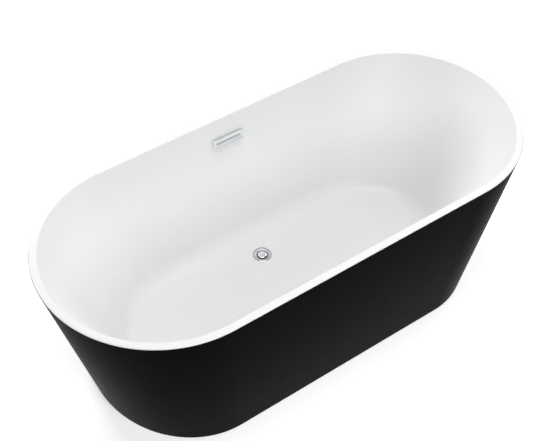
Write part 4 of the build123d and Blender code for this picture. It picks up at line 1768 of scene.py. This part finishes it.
# ---------------------------------------------------------------- frame
@dataclass(frozen=True)
class Frame:
    """The plywood board, the steel tube frame under it and what ties the skirt to it."""

    board_edge: float = 0.0012
    sheet_edge: float = 0.0006
    bead_radius: float = 0.0022
    bead_pitch: float = 0.0034
    head: tuple[float, float] = (0.005, 0.003)

    def tubes(self) -> None:
        """Dress the rails and crossbars."""
        rails = ("frame_rail_front", "frame_rail_back")
        for node in (*rails, "crossbar_left", "crossbar_right", "crossbar_centre"):
            dressed_copy(node, "tub", Finishes.PAINT, self.sheet_edge)

    def ties(self) -> None:
        """Dress the wooden blocks and the angles that hold the skirt."""
        for number in range(1, 5):
            dressed_copy(f"skirt_block_{number}", "tub", Finishes.PLY, self.board_edge)
            dressed_copy(f"skirt_bracket_{number}", "tub", Finishes.ZINC, self.sheet_edge)

    def beads(self) -> None:
        """Weld the rails to the crossbars: a row of small overlapping ripples along each joint."""
        low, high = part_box("crossbar_left")
        half_tube = (high.x - low.x) / 2
        spots = []
        for bar in ("crossbar_left", "crossbar_right"):
            middle = centre_of(bar)
            for rail in ("frame_rail_front", "frame_rail_back"):
                line = centre_of(rail)
                for side in (-1, 1):
                    count = int(half_tube * 2 / self.bead_pitch)
                    for step in range(count):
                        x = middle.x - half_tube + (step + 0.5) * self.bead_pitch
                        spots.append(Vector((x, line.y + side * half_tube, high.z)))
        angles = np.linspace(0, 2 * math.pi, 12, endpoint=False)
        loops = []
        for lift in (-0.95, -0.6, 0.0, 0.6, 0.95):
            across = self.bead_radius * math.sqrt(1 - lift * lift)
            x, y = across * np.cos(angles), across * np.sin(angles)
            loops.append(np.column_stack((x, y, np.full(12, lift * self.bead_radius))))
        template = skin("ripple", loops, closed=False)
        piece = repeat("weld_beads", template, spots, Finishes.PAINT)
        shade(piece, Shading.FLOWING)
        hand_over(piece, "tub", Finishes.PAINT)

    def fasteners(self) -> None:
        """Build the screws and bolts at each place where the CAD has one."""
        low, high = islands("frame_screws")[0]
        spots = [Vector(((a.x + b.x) / 2, (a.y + b.y) / 2, a.z)) for a, b in islands("frame_screws")]
        radius, depth = self.head
        outline = [
            (0, 0.0012),
            (0.0016, 0.0012),
            (0.0018, 0),
            (radius - 0.0012, 0),
            (radius - 0.0003, 0.0008),
            (radius, 0.0016),
            (radius, depth),
            (0.0025, depth),
            (0.0025, high.z - low.z),
            (0, high.z - low.z),
        ]
        template = lathe("frame_screw", outline, (0, 0), 24)
        piece = repeat("frame_screws_finished", template, spots, Finishes.ZINC)
        shade(piece, Shading.MACHINED)
        hand_over(piece, "tub", Finishes.ZINC, "frame_screws")
        dressed_copy("bracket_screws", "tub", Finishes.ZINC)
        dressed_copy("bracket_bolts", "tub", Finishes.ZINC, 0.0004)

    def build(self) -> None:
        """Build and dress the whole frame."""
        dressed_copy("base_board", "tub", Finishes.PLY, self.board_edge)
        self.tubes()
        self.ties()
        self.beads()
        self.fasteners()


# ---------------------------------------------------------------- studio
@dataclass(frozen=True)
class Softbox:
    """A square soft light: its name, place, side and power."""

    name: str
    place: tuple[float, float, float]
    side: float
    watts: float

    def hang(self, target: Sequence[float]) -> None:
        """Hang the light so that it faces a point.

        Args:
            target: the point it faces.
        """
        light = bpy.data.lights.new(self.name, "AREA")
        light.size = self.side
        light.energy = self.watts
        lamp = bpy.data.objects.new(self.name, light)
        bpy.context.scene.collection.objects.link(lamp)
        lamp.location = self.place
        lamp.rotation_euler = (Vector(self.place) - Vector(target)).to_track_quat("Z", "Y").to_euler()


@dataclass(frozen=True)
class Studio:
    """The pale floor, soft lights and camera round the tub."""

    floor_half: float = 8.0
    floor_tone: float = 0.97
    floor_glow: float = 0.57
    sky: float = 0.13
    softboxes: tuple[Softbox, ...] = (
        Softbox("back_softbox", (0.0, 3.8, 2.6), 2.0, 110.0),
        Softbox("front_softbox", (-0.5, -3.8, 2.6), 2.0, 74.0),
        Softbox("top_softbox", (0.0, 0.0, 4.0), 2.0, 67.0),
        Softbox("right_softbox", (3.2, 1.2, 3.2), 2.0, 27.0),
        Softbox("low_right_softbox", (4.0, 0.4, 1.5), 1.6, 8.0),
    )
    azimuth: float = -0.668
    elevation: float = 0.821
    roll: float = 0.053
    distance: float = 3.833
    target: tuple[float, float, float] = (0.0012, 0.1104, 0.300)
    lens: float = 78.8
    sensor: float = 36.0

    def floor(self) -> None:
        """Lay the floor."""
        half = self.floor_half
        corners = [(-half, -half, 0), (half, -half, 0), (half, half, 0), (-half, half, 0)]
        floor = mesh_object("floor", corners, [(0, 1, 2, 3)])
        material = bpy.data.materials.new("studio floor")
        material.use_nodes = True
        shader = material.node_tree.nodes["Principled BSDF"]
        shader.inputs["Base Color"].default_value = (self.floor_tone, self.floor_tone, self.floor_tone, 1)
        shader.inputs["Roughness"].default_value = 1.0
        shader.inputs["Specular IOR Level"].default_value = 0.0
        shader.inputs["Emission Color"].default_value = (1, 1, 1, 1)
        shader.inputs["Emission Strength"].default_value = self.floor_glow
        floor.data.materials.append(material)

    def lights(self) -> None:
        """Light the sky and hang the softboxes."""
        world = bpy.data.worlds.new("studio")
        bpy.context.scene.world = world
        world.use_nodes = True
        background = world.node_tree.nodes["Background"]
        background.inputs["Color"].default_value = (1, 1, 1, 1)
        background.inputs["Strength"].default_value = self.sky
        for softbox in self.softboxes:
            softbox.hang(self.target)

    def camera(self) -> None:
        """Set the camera above the tub's near side, to the left."""
        lens = bpy.data.cameras.new("camera")
        lens.sensor_width, lens.lens, lens.clip_end = self.sensor, self.lens, 50.0
        holder = bpy.data.objects.new("camera", lens)
        bpy.context.scene.collection.objects.link(holder)
        level = math.cos(self.elevation)
        back = Vector(
            (math.sin(self.azimuth) * level, -math.cos(self.azimuth) * level, math.sin(self.elevation))
        )
        right = Vector((0, 0, 1)).cross(back).normalized()
        up = back.cross(right)
        across = right * math.cos(self.roll) + up * math.sin(self.roll)
        matrix = Matrix((across, back.cross(across), back)).transposed().to_4x4()
        matrix.translation = Vector(self.target) + back * self.distance
        holder.matrix_world = matrix
        bpy.context.scene.camera = holder

    def build(self) -> None:
        """Set up the whole studio."""
        bpy.context.scene.view_settings.view_transform = "Standard"
        self.floor()
        self.lights()
        self.camera()


@dataclass(frozen=True)
class Bathtub:
    """The whole tub."""

    basin: Basin = Basin()
    skirt: Skirt = Skirt()
    overflow: Overflow = Overflow()
    drain: Drain = Drain()
    feet: Feet = Feet()
    frame: Frame = Frame()

    def shells(self) -> None:
        """Build the basin and skirt with the layers behind them."""
        surface, inside = self.skirt.surface(), self.basin.inside()
        place = self.overflow.place(inside)
        cutter = self.overflow.cutter(place)
        pieces = (
            (self.basin.build(surface), Finishes.WHITE, "basin_shell"),
            (self.basin.reinforcement(), Finishes.FIBRE, "basin_fibreglass"),
            (self.skirt.build(), Finishes.BLACK, "outer_skirt"),
            (self.skirt.reinforcement(), Finishes.FIBRE, "skirt_fibreglass"),
            (self.skirt.seam(), Finishes.BOND, "rim_bond"),
        )
        for piece, finish, node in pieces:
            if node.startswith("basin"):
                pierce(piece, cutter)
            shade(piece, Shading.MACHINED)
            hand_over(piece, "tub", finish, node)
        bpy.data.objects.remove(cutter)
        self.overflow.build(place)

    def build(self) -> None:
        """Build every sub-assembly."""
        self.shells()
        self.drain.build()
        self.frame.build()
        self.feet.build()


def main() -> None:
    """Build the tub in its studio and report its pieces."""
    logging.basicConfig(level=logging.INFO, format="%(name)s: %(message)s")
    Bathtub().build()
    Studio().build()


if __name__ == "__main__":
    main()
